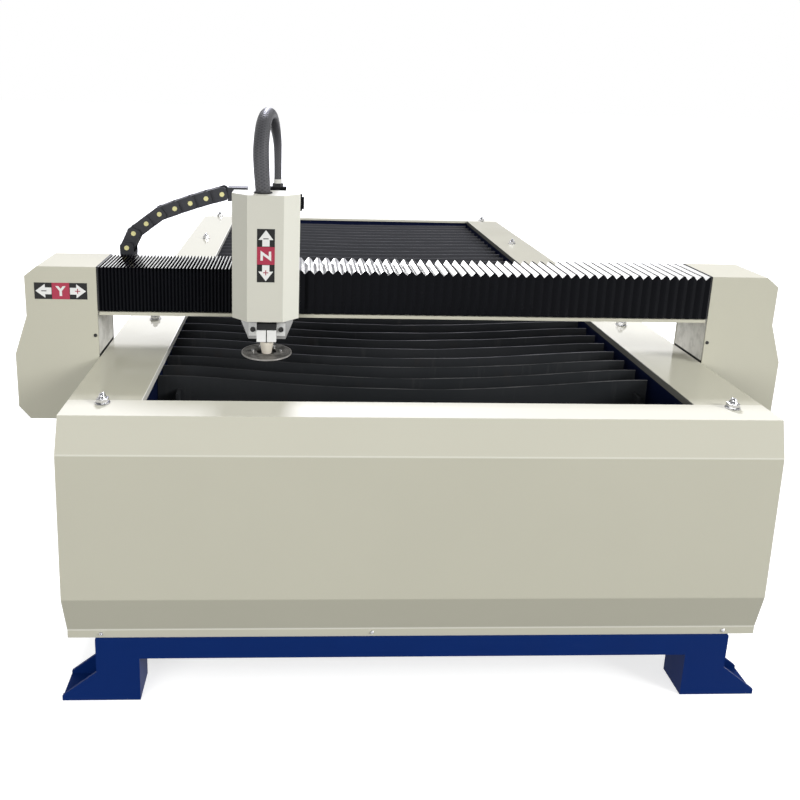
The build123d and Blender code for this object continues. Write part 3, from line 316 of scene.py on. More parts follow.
# %% Helpers for finishes
class Paint(Finish):
    """A material with a Principled shader and the noises that finishes need."""

    def __init__(self, name):
        super().__init__(bpy.data.materials.new(name))
        self.place = self.node("ShaderNodeTexCoord", out="Object")

    def axis(self, letter):
        return self.part(self.place, letter)

    def moved(self, stretch=(1, 1, 1), shift=(0, 0, 0), start=None):
        sockets = {"Vector": start or self.place, "Location": shift, "Scale": stretch}
        return self.node("ShaderNodeMapping", None, sockets)

    def noise(self, scale, detail=3.0, stretch=(1, 1, 1)):
        sockets = {"Scale": scale, "Detail": detail, "Roughness": 0.55}
        return self.node("ShaderNodeTexNoise", None, {"Vector": self.moved(stretch), **sockets})

    def bump(self, height, strength, distance):
        sockets = {"Height": height, "Strength": strength, "Distance": distance}
        return self.node("ShaderNodeBump", None, sockets)

    def done(self, **sockets):
        named = {key.replace("_", " "): value for key, value in sockets.items()}
        shader = self.node("ShaderNodeBsdfPrincipled", None, named)
        self.node("ShaderNodeOutputMaterial", None, {"Surface": shader})
        return self.owner


def dimmed(colour, share):
    return tuple(channel * share for channel in colour)


finishes = {}


def add_finishes(maker, table):
    """Make every finish of a table, where each line has a name and the maker's values."""
    for name, *values in table:
        finishes[name] = maker(name, *values)
    print(maker.__name__, [line[0] for line in table])


# %% [markdown]
# ### Powder coat
# The folded sheets wear a cream powder coat. Up close it has an orange-peel skin, and from afar it
# is a little uneven. On an end panel, pale lines over the upper fold and the lip fold are painted
# highlights, the facet that looks down is darkened with painted shade, and the flange on top and
# the facet above the upper fold are painted paler as painted light. The torch cover is from another
# batch of paint, a little whiter, and its right facet is painted whiter still as painted light.
# Sheets that are dragged over the side covers have rubbed them smooth. The inner lip of the left
# one is painted pale as a painted highlight, and that of the right one is painted nearly black as
# painted shade.

# %% Cream powder coat
cream = (0.545, 0.532, 0.437)
cream_pale = (0.72, 0.71, 0.63)
cover_white, cover_pale = (0.630, 0.622, 0.548), (0.775, 0.770, 0.690)
lip_pale = (0.86, 0.85, 0.80)
lip_shade_black = (0.030, 0.032, 0.040)
lip_skin = 0.0035
table_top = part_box("side_cover_right")[1][2]


def powder_coat(
    name, colour, pale, folds=(), shaded_lip_from=None, lit_from=None, rough=0.42, level=0.12, grain=0.10
):
    paint = Paint(name)
    tone = paint.mix(paint.noise(2.6, 4.0), dimmed(colour, 0.94), colour)
    specks = paint.band(paint.noise(240.0, 2.0), 0.66, 0.74)
    tone = paint.mix(specks * 0.10, tone, pale)
    if folds:
        height = paint.axis("Z")
        upper, lower, lip = folds
        # Painted shade: the facet between the lower fold and the lip fold, which looks down, is
        # darkened.
        over_lip = paint.band(height, lip - 0.0005, lip + 0.0005)
        dust_and_shade = over_lip * (1 - paint.band(height, lower - 0.004, lower))
        tone = paint.mix(dust_and_shade * 0.26, tone, dimmed(colour, 0.30))
        # Painted light: the panel above the upper fold is a little paler.
        tone = paint.mix(paint.band(height, upper, upper + 0.002) * 0.22, tone, pale)
        # Painted light: the flange on top of the panel is paler.
        flange = paint.band(height, table_top - 0.0015, table_top - 0.0005)
        tone = paint.mix(flange * 0.3, tone, pale)
        # Painted highlights: pale lines over the upper fold and the lip fold.
        line = 0.0
        for fold in (upper, lip):
            line = (1 - paint.band(abs(height - fold), 0.0012, 0.0034)) + line
        tone = paint.mix(line * 0.8, tone, pale)
    # Painted shade: a side cover's inner lip is painted nearly black.
    if shaded_lip_from is not None:
        place = paint.axis("X")
        past_lip = paint.band(place, shaded_lip_from + lip_skin, shaded_lip_from + lip_skin + 0.001)
        inner = paint.band(place, shaded_lip_from, shaded_lip_from + 0.001) * (1 - past_lip)
        tone = paint.mix(inner * 0.80, tone, lip_shade_black)
    # Painted light: past a given X the paint is paler; this lights the torch cover's right facet and
    # the left side cover's inner lip.
    if lit_from is not None:
        facet = paint.band(paint.axis("X"), lit_from, lit_from + 0.001)
        tone = paint.mix(facet * 0.85, tone, pale)
    peel = paint.noise(420.0, 2.0)
    smudge = paint.noise(5.0, 5.0)
    return paint.done(
        Base_Color=tone,
        Roughness=smudge * 0.16 + rough,
        Specular_IOR_Level=level,
        Normal=paint.bump(peel, grain, 0.0006),
    )


panel_folds = (0.717, 0.311, 0.214)
cover_low, cover_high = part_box("torch_cover")
half_front = 0.052
facet_x = (cover_low[0] + cover_high[0]) / 2 + half_front
lip_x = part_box("side_cover_left")[1][0] - lip_skin
# The torch cover's right facet and the left side cover's inner lip are painted paler as painted
# light; the right side cover's inner lip is painted nearly black as painted shade.
coats = (
    ("cream_paint", cream, cream_pale),
    ("panel_paint", cream, cream_pale, panel_folds),
    ("cover_paint", cover_white, cover_pale, (), None, facet_x),
    ("side_paint", cream, lip_pale, (), None, lip_x, 0.0, 0.5, 0.02),
    ("smooth_paint", cream, cream_pale, (), 0.749, None, 0.06, 0.12, 0.05),
)
add_finishes(powder_coat, coats)

# %% [markdown]
# ### Enamel
# The welded base and the slag tray are deep blue. Brushed or sprayed enamel is glossier than powder
# coat, with longer waves in it, and it gets dusty and scuffed low down. In the tray, soot has
# turned it nearly black. The beam under the bellows has a plain grey coat.

# %% Enamel paints
def enamel(name, colour, worn, gloss):
    paint = Paint(name)
    cloudy = paint.noise(7.0, 5.0)
    tone = paint.mix(cloudy, dimmed(colour, 0.82), colour)
    scuffs = paint.band(paint.noise(16.0, 6.0, stretch=(0.35, 0.35, 1.6)), 0.63, 0.78)
    tone = paint.mix(scuffs * 0.20, tone, worn)
    waves = paint.noise(120.0, 2.0)
    return paint.done(
        Base_Color=tone,
        Roughness=cloudy * 0.18 + gloss,
        Specular_IOR_Level=0.06,
        Normal=paint.bump(waves, 0.12, 0.001),
    )


enamels = (
    ("blue_paint", (0.0032, 0.0218, 0.131), (0.014, 0.040, 0.15), 0.40),
    ("tray_paint", (0.0036, 0.0070, 0.030), (0.008, 0.011, 0.030), 0.55),
    ("beam_paint", (0.28, 0.28, 0.27), (0.36, 0.36, 0.35), 0.42),
)
add_finishes(enamel, enamels)

# %% [markdown]
# ### Bare metal
# Ground rails, milled plates, oiled racks and chrome nuts differ in colour, in how fine their lines
# are and which way these run. A noise that is stretched along one axis draws them. The gantry's
# steel plates are painted black along their foot, beside the table top, as a painted shade line, and
# the slide behind the torch is dulled by its fumes.

# %% Bare metals
def metal(name, colour, dark, rough, lines, stretch, mottle=0.0, shine=1.0, shade_top=None):
    paint = Paint(name)
    streaks = paint.noise(lines, 3.0, stretch=stretch)
    patches = paint.band(paint.noise(30.0, 6.0), 0.42, 0.64)
    tone = paint.mix(streaks * 0.55, colour, dark)
    tone = paint.mix(patches * mottle, tone, dark)
    # Painted shade: a black line along the foot of the plate.
    if shade_top:
        above_shade = paint.band(paint.axis("Z"), shade_top, shade_top + 0.0015)
        tone = paint.mix(above_shade, (0.012, 0.012, 0.012), tone)
    smears = paint.noise(11.0, 4.0)
    return paint.done(
        Base_Color=tone,
        Metallic=shine,
        Roughness=streaks * 0.14 + smears * 0.12 + rough,
        Normal=paint.bump(streaks, 0.10, 0.0004),
    )


along, even, upright, fine = (1.0, 0.05, 14.0), (1, 1, 1), (1.0, 1.0, 0.12), (1, 1, 0.3)
# The steel plates are painted black up to this height, as a painted shade line.
shade_line_z = table_top + 0.005
metals = (
    ("bright_steel", (0.66, 0.66, 0.67), (0.42, 0.42, 0.43), 0.16, 60.0, along),
    ("rack_steel", (0.30, 0.29, 0.28), (0.12, 0.11, 0.10), 0.30, 160.0, even, 0.5),
    ("plate_steel", (0.92, 0.91, 0.87), (0.66, 0.65, 0.61), 0.42, 90.0, upright, 0.8, 0.55, shade_line_z),
    ("plate_aluminium", (0.80, 0.80, 0.79), (0.60, 0.60, 0.60), 0.30, 130.0, upright, 0.15),
    ("slide_aluminium", (0.58, 0.58, 0.57), (0.38, 0.38, 0.37), 0.38, 130.0, upright, 0.4, 0.7),
    ("chrome_nuts", (0.72, 0.72, 0.73), (0.44, 0.44, 0.45), 0.10, 300.0, fine, 0.25),
)
add_finishes(metal, metals)

# %% [markdown]
# ### Slats
# The slats that carry the sheet are hot-rolled strip: black scale with a bluish or brown cast,
# spatter that has burnt on, and a top edge rubbed grey in places by the sheets that were dragged
# over it, painted lighter towards the right as painted glints. The far half of the bed is painted
# paler as a painted sheen.

# %% Slat steel
slat_low, slat_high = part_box("slats")
slat_top = slat_high[2]


def scale_steel(name):
    paint = Paint(name)
    height = paint.axis("Z")
    cast = paint.noise(3.4, 5.0)
    tone = paint.mix(cast, (0.011, 0.0135, 0.0155), (0.030, 0.031, 0.033))
    warm = paint.band(paint.noise(9.0, 4.0, stretch=(1, 1, 0.4)), 0.58, 0.72)
    tone = paint.mix(warm * 0.35, tone, (0.030, 0.024, 0.020))
    runs = paint.band(paint.noise(34.0, 4.0, stretch=(1, 1, 0.10)), 0.60, 0.75)
    tone = paint.mix(runs * 0.25, tone, (0.055, 0.054, 0.052))
    # Painted sheen: the scale is paler towards the far end of the bed.
    far_sheen = paint.band(paint.axis("Y"), -1.45, 1.05)
    tone = paint.mix(far_sheen * 0.8, tone, (0.078, 0.079, 0.088))
    # The rubbed top edge is wear, and it is painted lighter towards the right as painted glints.
    edge = paint.band(height, slat_top - 0.0016, slat_top - 0.0005)
    lighter_patches = paint.band(paint.noise(7.0, 4.0, stretch=(1, 3, 0)), 0.34, 0.62)
    glint_toward_right = paint.band(paint.axis("X"), -0.5, 0.3)
    worn = edge * (lighter_patches * 0.75 + 0.25) * (glint_toward_right * 0.8 + 0.2)
    tone = paint.mix(worn, tone, (0.100, 0.100, 0.103))
    grit = paint.noise(260.0, 3.0)
    return paint.done(
        Base_Color=tone,
        Roughness=0.86 - worn * 0.24,
        Specular_IOR_Level=0.08,
        Normal=paint.bump(grit, 0.35, 0.0008),
    )


add_finishes(scale_steel, [("slat_steel",)])

# %% [markdown]
# ### Plastics, rubber and black coats
# The drag chain, its caps, the gland, the motors and the small black sheets are nearly all dark and
# dull, but not alike: moulded nylon has a fine grain, rubber is duller, a coated motor has a slight
# gloss, and the chain's arm is the dullest. The clamp, the collar and the cup of the torch are
# pale.

# %% Plastics, rubber and black coats
def moulded(name, colour, worn, rough, grain, depth, level=0.5):
    paint = Paint(name)
    cloudy = paint.noise(14.0, 4.0)
    tone = paint.mix(cloudy, dimmed(colour, 0.75), colour)
    rubs = paint.band(paint.noise(55.0, 5.0), 0.62, 0.78)
    tone = paint.mix(rubs * 0.3, tone, worn)
    return paint.done(
        Base_Color=tone,
        Roughness=cloudy * 0.16 + rough,
        Specular_IOR_Level=level,
        Normal=paint.bump(paint.noise(grain, 2.0), depth, 0.0005),
    )


plastics = (
    ("motor_black", (0.020, 0.020, 0.021), (0.05, 0.05, 0.05), 0.34, 500.0, 0.15),
    ("black_sheet", (0.014, 0.014, 0.015), (0.04, 0.04, 0.04), 0.40, 420.0, 0.12, 0.35),
    ("arm_black", (0.012, 0.012, 0.013), (0.03, 0.03, 0.03), 0.70, 420.0, 0.12, 0.04),
    ("black_screws", (0.016, 0.016, 0.016), (0.09, 0.09, 0.09), 0.32, 700.0, 0.1),
    ("chain_plastic", (0.025, 0.026, 0.032), (0.06, 0.06, 0.07), 0.44, 620.0, 0.2, 0.4),
    ("cap_plastic", (0.82, 0.77, 0.36), (0.88, 0.85, 0.58), 0.30, 500.0, 0.08),
    ("black_rubber", (0.014, 0.014, 0.014), (0.03, 0.03, 0.03), 0.62, 800.0, 0.25, 0.3),
    ("black_nylon", (0.015, 0.015, 0.016), (0.04, 0.04, 0.04), 0.42, 700.0, 0.18, 0.4),
    ("pale_collar", (0.72, 0.71, 0.66), (0.80, 0.80, 0.76), 0.40, 500.0, 0.1),
    ("torch_black", (0.014, 0.014, 0.014), (0.05, 0.045, 0.04), 0.46, 600.0, 0.2, 0.4),
    ("cup_ceramic", (0.80, 0.74, 0.63), (0.66, 0.57, 0.44), 0.32, 260.0, 0.1),
    ("clamp_white", (0.92, 0.92, 0.90), (0.80, 0.80, 0.78), 0.38, 300.0, 0.1),
)
add_finishes(moulded, plastics)

# %% [markdown]
# ### Turned brass and the guard ring
# A turned face has fine rings about the axis of the lathe. Wave rings about the torch's own axis
# draw them; a Mapping node moves the middle of the rings there. The ring's rim is painted bright as
# a painted highlight. The four screws on it are bright, while the two screws of the clamp are
# black: one finish tells them apart by height.

# %% Turned metals
ring_low, ring_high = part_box("guard_ring")
torch_axis = ((ring_low[0] + ring_high[0]) / 2, (ring_low[1] + ring_high[1]) / 2)
ring_radius = ring_high[0] - torch_axis[0]
screw_split = ring_high[2] + 0.015


def turned_metal(name, colour, dark, rough, rings, tarnish, shine=1.0, rim=None):
    paint = Paint(name)
    centred = paint.moved(shift=(-torch_axis[0], -torch_axis[1], 0))
    settings = {"wave_type": "RINGS", "rings_direction": "Z"}
    sockets = {"Scale": rings, "Distortion": 1.2, "Detail": 3.0, "Detail Scale": 2.0}
    lathe = paint.node("ShaderNodeTexWave", settings, {"Vector": centred, **sockets}, out="Fac")
    stain = paint.band(paint.noise(42.0, 5.0), 0.38, 0.70)
    tone = paint.mix(lathe * 0.35, colour, dark)
    tone = paint.mix(stain * tarnish, tone, dark)
    # Painted highlight: the outer rim of the guard ring is painted bright.
    if rim:
        x, y = paint.part(centred, "X"), paint.part(centred, "Y")
        radius = (x * x + y * y) ** 0.5
        lighter_patches = paint.band(radius, rim - 0.003, rim - 0.001) * (stain * 0.5 + 0.5)
        tone = paint.mix(lighter_patches, tone, (0.60, 0.58, 0.55))
    return paint.done(
        Base_Color=tone,
        Metallic=shine,
        Roughness=lathe * 0.08 + stain * 0.16 + rough,
        Normal=paint.bump(lathe, 0.12, 0.0003),
    )


def two_screws(name, split):
    """Bright screws below a height, black ones above it."""
    paint = Paint(name)
    black = paint.band(paint.axis("Z"), split - 0.001, split + 0.001)
    smears = paint.noise(300.0, 3.0)
    tone = paint.mix(black, (0.78, 0.78, 0.77), (0.012, 0.012, 0.012))
    return paint.done(
        Base_Color=tone,
        Metallic=1.0 - black,
        Roughness=smears * 0.1 + 0.22,
        Normal=paint.bump(smears, 0.05, 0.0002),
    )


turned = (
    ("nut_brass", (0.62, 0.40, 0.17), (0.26, 0.15, 0.06), 0.26, 160.0, 0.5),
    ("ring_steel", (0.24, 0.23, 0.21), (0.055, 0.053, 0.048), 0.40, 60.0, 0.8, 0.55, ring_radius),
)
add_finishes(turned_metal, turned)
add_finishes(two_screws, [("torch_screws", screw_split)])

# %% [markdown]
# ### Braided sleeve and bellows cloth
# The sleeve's braid follows the cord, so its pattern reads the curve's own UV map: two sets of
# slanting lines, crossed. The bellows are black coated cloth, smooth enough to mirror a bright wall
# at a low angle. A low index of refraction keeps their front dark, and the bump has a fine weave.
# Pale powder from the cutting lies on top of the pleats to the right of the torch, and it is
# painted bright enough to stand in for the window mirrored there too, a painted reflection. It moves
# with the cloth, so it is placed with the cloth's own UV map.

# %% Braid and bellows cloth
def braid(name):
    paint = Paint(name)
    wrap = paint.node("ShaderNodeTexCoord", out="UV")
    crossed = []
    for slant in (1, -1):
        slanted = paint.moved(stretch=(70.0, 9.0 * slant, 1), start=wrap)
        phase = (paint.part(slanted, "X") + paint.part(slanted, "Y")) * (2 * pi)
        wave = paint.node("ShaderNodeMath", {"operation": "SINE"}, {0: phase})
        crossed.append(wave * 0.5 + 0.5)
    strands = crossed[0].at_least(crossed[1])
    fuzz = paint.noise(180.0, 4.0)
    tone = paint.mix(strands, (0.012, 0.012, 0.014), (0.056, 0.056, 0.063))
    tone = paint.mix(fuzz * 0.35, tone, (0.085, 0.085, 0.092))
    return paint.done(
        Base_Color=tone,
        Roughness=0.60 - strands * 0.14,
        Normal=paint.bump(strands + fuzz * 0.3, 0.5, 0.0012),
    )


def coated_cloth(name):
    paint = Paint(name)
    dust_and_shade = paint.noise(22.0, 5.0)
    tone = paint.mix(dust_and_shade, (0.0030, 0.0033, 0.0046), (0.0046, 0.0050, 0.0066))
    wrap = paint.node("ShaderNodeTexCoord", out="UV")
    by_torch = paint.part(wrap, "Y") * paint.band(paint.part(wrap, "X"), 0.62, 0.94)
    facing = paint.node("ShaderNodeNewGeometry", out="Normal")
    upward = paint.band(paint.part(facing, "Z"), 0.2, 0.4)
    speckle = paint.band(paint.noise(150.0, 4.0), 0.36, 0.60)
    # Pale powder on the upward pleats by the torch, painted bright enough to be a painted reflection
    # as well.
    powder_and_sheen = by_torch * upward * (speckle * 0.5 + 0.5)
    tone = paint.mix(powder_and_sheen, tone, (0.36, 0.36, 0.355))
    warp = paint.noise(90.0, 1.0, stretch=(14, 0.4, 0.4))
    weft = paint.noise(90.0, 1.0, stretch=(0.4, 14, 14))
    return paint.done(
        Base_Color=tone,
        Roughness=dust_and_shade * 0.06 + 0.13,
        IOR=1.11,
        Normal=paint.bump(warp + weft, 0.06, 0.0004),
    )


add_finishes(braid, [("lead_sleeve",)])
add_finishes(coated_cloth, [("bellows_cloth",)])
lead_curve.materials.append(finishes["lead_sleeve"])

# %% [markdown]
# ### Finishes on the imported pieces
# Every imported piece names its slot, and the slot names the finish. A few have a finish of their
# own: the two folded end panels, the torch cover, each side cover, the sooty tray, the slide of the
# lift and the shelf of the cross motor, the chain's black arm, and the white clamp blocks and the
# screws of the torch.

# %% Put the finishes on
own_finish = {
    "front_panel": "panel_paint",
    "rear_panel": "panel_paint",
    "torch_cover": "cover_paint",
    "side_cover_left": "side_paint",
    "side_cover_right": "smooth_paint",
    "slag_tray": "tray_paint",
    "torch_clamp": "clamp_white",
    "torch_screws": "torch_screws",
    "lift_slide": "slide_aluminium",
    "motor_shelf": "slide_aluminium",
    "chain_arm": "arm_black",
}
for name, piece in nodes.items():
    chosen = finishes[own_finish.get(name, slot_of[name])]
    if not piece.material_slots:
        piece.data.materials.append(chosen)
    for place in piece.material_slots:
        place.material = chosen
print("finished", len(nodes), "packed pieces with", len(finishes), "finishes")

# %% [markdown]
# ## Bellows
# Two black bellows hide the beam's rails, one on each side of the carriage. Each is an arch of
# cloth, folded into some forty pleats with narrow flat crests. The arch starts as three edges at
# the leg and is extruded four times a pleat: off the crest, down to the fold, up again and onto the
# next crest. The folds are shallower in front than on top. Each point's share of the length goes
# into a UV map; the pleats are moved to where a smooth curve gives even shares, and then they go
# back to their places.

# %% Helper that turns a bmesh into a piece
def piece_from(shape, name, body, materials):
    bmesh.ops.remove_doubles(shape, verts=shape.verts, dist=1e-6)
    mesh = bpy.data.meshes.new(name)
    shape.to_mesh(mesh)
    shape.free()
    for material in materials:
        mesh.materials.append(material)
    mesh.polygons.foreach_set("use_smooth", [False] * len(mesh.polygons))
    made = bpy.data.objects.new(name, mesh)
    bpy.context.collection.objects.link(made)
    if body:
        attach(made, body)
    return made


# %% Bellows
def even_place(share):
    """Where the curve 3t^2 - 2t^3 reaches a share."""
    low, high = 0.0, 1.0
    for _ in range(50):
        middle = (low + high) / 2
        if middle * middle * (3 - 2 * middle) < share:
            low = middle
        else:
            high = middle
    return low


def pleated_arch(low, high, fixed_x, pitch, pleats, depth, front_depth, crest):
    rear_bottom = high[2] - 0.060
    top_from = (rear_bottom + high[2]) / 2
    middle_y = (low[1] + high[1]) / 2
    round_off, thickness = 0.0006, 0.0012
    crest_share = crest / abs(pitch)
    slope_share = 0.5 - crest_share
    steps = (
        (crest_share, round_off),
        (slope_share, depth - round_off),
        (slope_share, round_off - depth),
        (crest_share, -round_off),
    )
    shape = bmesh.new()
    arch = [(low[1], low[2]), (low[1], high[2]), (high[1], high[2]), (high[1], rear_bottom)]
    row = [shape.verts.new((fixed_x, y, z)) for y, z in arch]
    edges = [shape.edges.new(pair) for pair in zip(row, row[1:])]
    for share, fold in steps * pleats:
        grown = bmesh.ops.extrude_edge_only(shape, edges=edges)["geom"]
        edges = [part for part in grown if isinstance(part, bmesh.types.BMEdge)]
        row = [part for part in grown if isinstance(part, bmesh.types.BMVert)]
        front = [vert for vert in row if vert.co.y < middle_y]
        back = [vert for vert in row if vert.co.y > middle_y]
        top = [vert for vert in row if vert.co.z > top_from]
        bmesh.ops.translate(shape, verts=row, vec=(share * pitch, 0, 0))
        bmesh.ops.translate(shape, verts=front, vec=(0, fold * front_depth / depth, 0))
        bmesh.ops.translate(shape, verts=back, vec=(0, -fold, 0))
        bmesh.ops.translate(shape, verts=top, vec=(0, 0, -fold))
    bmesh.ops.recalc_face_normals(shape, faces=shape.faces)
    if sum(face.normal.z for face in shape.faces) < 0:
        bmesh.ops.reverse_faces(shape, faces=shape.faces[:])
    bmesh.ops.solidify(shape, geom=shape.faces[:], thickness=thickness)
    return shape


def bellows(node, fixed_x, moving_x, pleats, depth, front_depth, crest, powder_and_sheen):
    low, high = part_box(node)
    reach = moving_x - fixed_x
    shape = pleated_arch(low, high, fixed_x, reach / pleats, pleats, depth, front_depth, crest)
    made = piece_from(shape, node + "_cloth", None, [finishes["bellows_cloth"]])
    places = [vert.co.x for vert in made.data.vertices]
    wrap = made.data.uv_layers.new(name="share_and_powder")
    for corner, spot in zip(made.data.loops, wrap.data):
        spot.uv = ((places[corner.vertex_index] - fixed_x) / reach, powder_and_sheen)
    for vert, place in zip(made.data.vertices, places):
        vert.co.x = fixed_x + reach * even_place((place - fixed_x) / reach)
    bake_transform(made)
    for vert, place in zip(made.data.vertices, places):
        vert.co.x = place
    made.data.update()
    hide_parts(node)
    top = max(vert.co.z for vert in made.data.vertices)
    print(made.name, len(made.data.polygons), "faces, top at", round(top, 4), "m")
    return made


left_low, left_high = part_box("bellows_left")
right_low, right_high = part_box("bellows_right")
left_folds = {"pleats": 38, "depth": 0.017, "front_depth": 0.004, "crest": 0.0022}
right_folds = {"pleats": 45, "depth": 0.013, "front_depth": 0.0035, "crest": 0.0034}
left_ends, right_ends = (left_low[0], left_high[0]), (right_high[0], right_low[0])
left_bellows = bellows("bellows_left", *left_ends, **left_folds, powder_and_sheen=0.0)
right_bellows = bellows("bellows_right", *right_ends, **right_folds, powder_and_sheen=1.0)

# %% [markdown]
# In the photograph the pleats mirror a bright window far behind the machine, and under the beam the
# smooth side covers mirror it too. One lamp for all would flood the table top. Light linking lets a
# panel light only one thing, so each bellows and each side cover has windows of its own, which it
# shows only as a mirror does.

# %% Windows that only one piece mirrors
def window_for(thing, place, target, size, watts):
    """A bright panel that shines on one thing only, and only as a mirror shows it."""
    window = softbox(thing.name + "_window", place, target, size, watts)
    only = bpy.data.collections.new(window.name)
    only.objects.link(thing)
    window.light_linking.receiver_collection = only
    window.visible_diffuse = False


beam_window = ((-3.4, 12.0, 5.4), (0.0, -1.0, 1.1), (4.4, 11.0))
left_spot, right_spot = (-0.85, -1.0, table_top), (0.8, -1.0, table_top)
window_for(left_bellows, *beam_window, 880.0)
window_for(right_bellows, *beam_window, 5200.0)
window_for(right_bellows, (-3.2, 12.0, 7.4), (0.85, -1.0, 1.2), (4.0, 3.4), 1300.0)
window_for(nodes["side_cover_left"], (-3.2, 11.5, 4.55), left_spot, (3.2, 0.9), 14.0)
window_for(nodes["side_cover_right"], (6.6, 11.5, 4.8), right_spot, (3.2, 1.0), 38.0)
print("lamps", sorted(lamp.name for lamp in bpy.data.lights))

# %% [markdown]
# ## Slats
# Heat bends the slats of a cutting table: in the photograph their middles lean towards the front,
# most of all at the near end, and their top edges are no longer straight. Each slat starts as a
# block, is cut into short lengths, and its points are pushed by a smooth bow and a small ripple
# that die out at the combs that hold the slat.

# %% Slats
slat_pitch, slat_width, comb_x = 0.087, 0.004, 0.690
slat_count = round((slat_high[1] - slat_low[1] - slat_width) / slat_pitch) + 1
slat_size = (slat_high[0] - slat_low[0], slat_width, slat_high[2] - slat_low[2])
slat_middle = [(low + high) / 2 for low, high in zip(slat_low, slat_high)]
first_slat = slat_low[1] + slat_width / 2
near_bow, bow_loss, bow_spread = 0.090, 0.060, 0.004
ripples = ((0.0016, 13, 1.7), (0.0008, 31, 1))
edge_dip = 0.0006


def bowed_slat(index):
    strip = bmesh.new()
    bmesh.ops.create_cube(strip, size=1)
    bmesh.ops.scale(strip, verts=strip.verts, vec=slat_size)
    bmesh.ops.translate(strip, verts=strip.verts, vec=(slat_middle[0], 0, slat_middle[2]))
    long_edges = [edge for edge in strip.edges if edge.calc_length() > 0.5]
    bmesh.ops.subdivide_edges(strip, edges=long_edges, cuts=29)
    bow = near_bow - bow_loss * index / (slat_count - 1) + bow_spread * sin(index * 2.4)
    for vert in strip.verts:
        x = vert.co.x
        give = max(0.0, 1 - (x / comb_x) ** 2) ** 1.5
        ripple = sum(size * sin(x * waves + index * shift) for size, waves, shift in ripples)
        vert.co.y -= give * (bow + ripple)
        if vert.co.z > slat_middle[2]:
            vert.co.z -= edge_dip * give * (1 + sin(x * 19 + index * 2.9))
    bmesh.ops.translate(strip, verts=strip.verts, vec=(0, first_slat + index * slat_pitch, 0))
    return strip


slat_shape = bmesh.new()
for index in range(slat_count):
    strip = bowed_slat(index)
    strip_mesh = bpy.data.meshes.new("strip")
    strip.to_mesh(strip_mesh)
    strip.free()
    slat_shape.from_mesh(strip_mesh)
    bpy.data.meshes.remove(strip_mesh)
slats = piece_from(slat_shape, "bowed_slats", "table", [finishes["slat_steel"]])
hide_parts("slats")
print("slats", slat_count, "with", len(slats.data.polygons), "faces")

# %% [markdown]
# ## Fasteners
# Small round things are turned on a lathe, so a profile spun about an axis makes them: button
# screws on the legs and the panel lips, and the washers and caps of the ten cap nuts along the
# table top. One pattern is made of each and stamped wherever the real machine has one.

# %% Helpers for spun patterns
def pattern_from(shape):
    bmesh.ops.remove_doubles(shape, verts=shape.verts, dist=1e-6)
    bmesh.ops.recalc_face_normals(shape, faces=shape.faces)
    pattern = bpy.data.meshes.new("pattern")
    shape.to_mesh(pattern)
    shape.free()
    return pattern


def spun(profile, steps):
    """A mesh from (radius, height) points, turned about Z."""
    shape = bmesh.new()
    verts = [shape.verts.new((radius, 0, height)) for radius, height in profile]
    edges = [shape.edges.new(pair) for pair in zip(verts, verts[1:])]
    bmesh.ops.spin(
        shape,
        geom=verts + edges,
        cent=(0, 0, 0),
        axis=(0, 0, 1),
        angle=2 * pi,
        steps=steps,
        use_merge=True,
    )
    return pattern_from(shape)


def stamp(shape, pattern, place, direction=(0, 0, 1)):
    """A copy of a pattern in another bmesh, with its Z turned to a direction."""
    turn = Vector((0, 0, 1)).rotation_difference(Vector(direction)).to_matrix().to_4x4()
    copy = pattern.copy()
    copy.transform(Matrix.Translation(place) @ turn)
    shape.from_mesh(copy)
    bpy.data.meshes.remove(copy)


# %% Button screws
def button(radius, height):
    profile = (
        (0, height * 0.35),
        (radius * 0.42, height * 0.35),
        (radius * 0.46, height * 0.95),
        (radius * 0.60, height),
        (radius * 0.88, height * 0.62),
        (radius, height * 0.12),
        (radius, -height * 0.1),
        (0, -height * 0.1),
    )
    return spun(profile, steps=18)


front, rear = (0, -1, 0), (0, 1, 0)
leg_low, leg_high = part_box("leg_cover_right")
leg_screw_x, leg_screw_z = 0.957, 0.886
leg_button = button(0.0056, 0.0030)
leg_shape = bmesh.new()
for x in (-leg_screw_x, leg_screw_x):
    stamp(leg_shape, leg_button, (x, leg_low[1], leg_screw_z), front)
    stamp(leg_shape, leg_button, (x, leg_high[1], leg_screw_z), rear)
black_finish = [finishes["black_screws"]]
leg_screws = piece_from(leg_shape, "leg_screws", "gantry", black_finish)

lip_y, lip_z = 1.624, 0.202
lip_button = button(0.0055, 0.0036)
lip_shape = bmesh.new()
for x in (-0.853, -0.125, 0.853):
    stamp(lip_shape, lip_button, (x, -lip_y, lip_z), front)
    stamp(lip_shape, lip_button, (-x, lip_y, lip_z), rear)
bright_finish = [finishes["bright_steel"]]
lip_screws = piece_from(lip_shape, "lip_screws", "table", bright_finish)
print("button screws", [len(piece.data.polygons) for piece in (leg_screws, lip_screws)], "faces")

# %% Cap nuts
washer_top, nut_height, nut_flats = 0.0040, 0.0120, 0.030
washer_line = (
    (0.0098, washer_top),
    (0.0188, washer_top),
    (0.0200, 0.0028),
    (0.0200, 0.0),
    (0.0098, 0.0),
)
washer = spun(washer_line, steps=32)

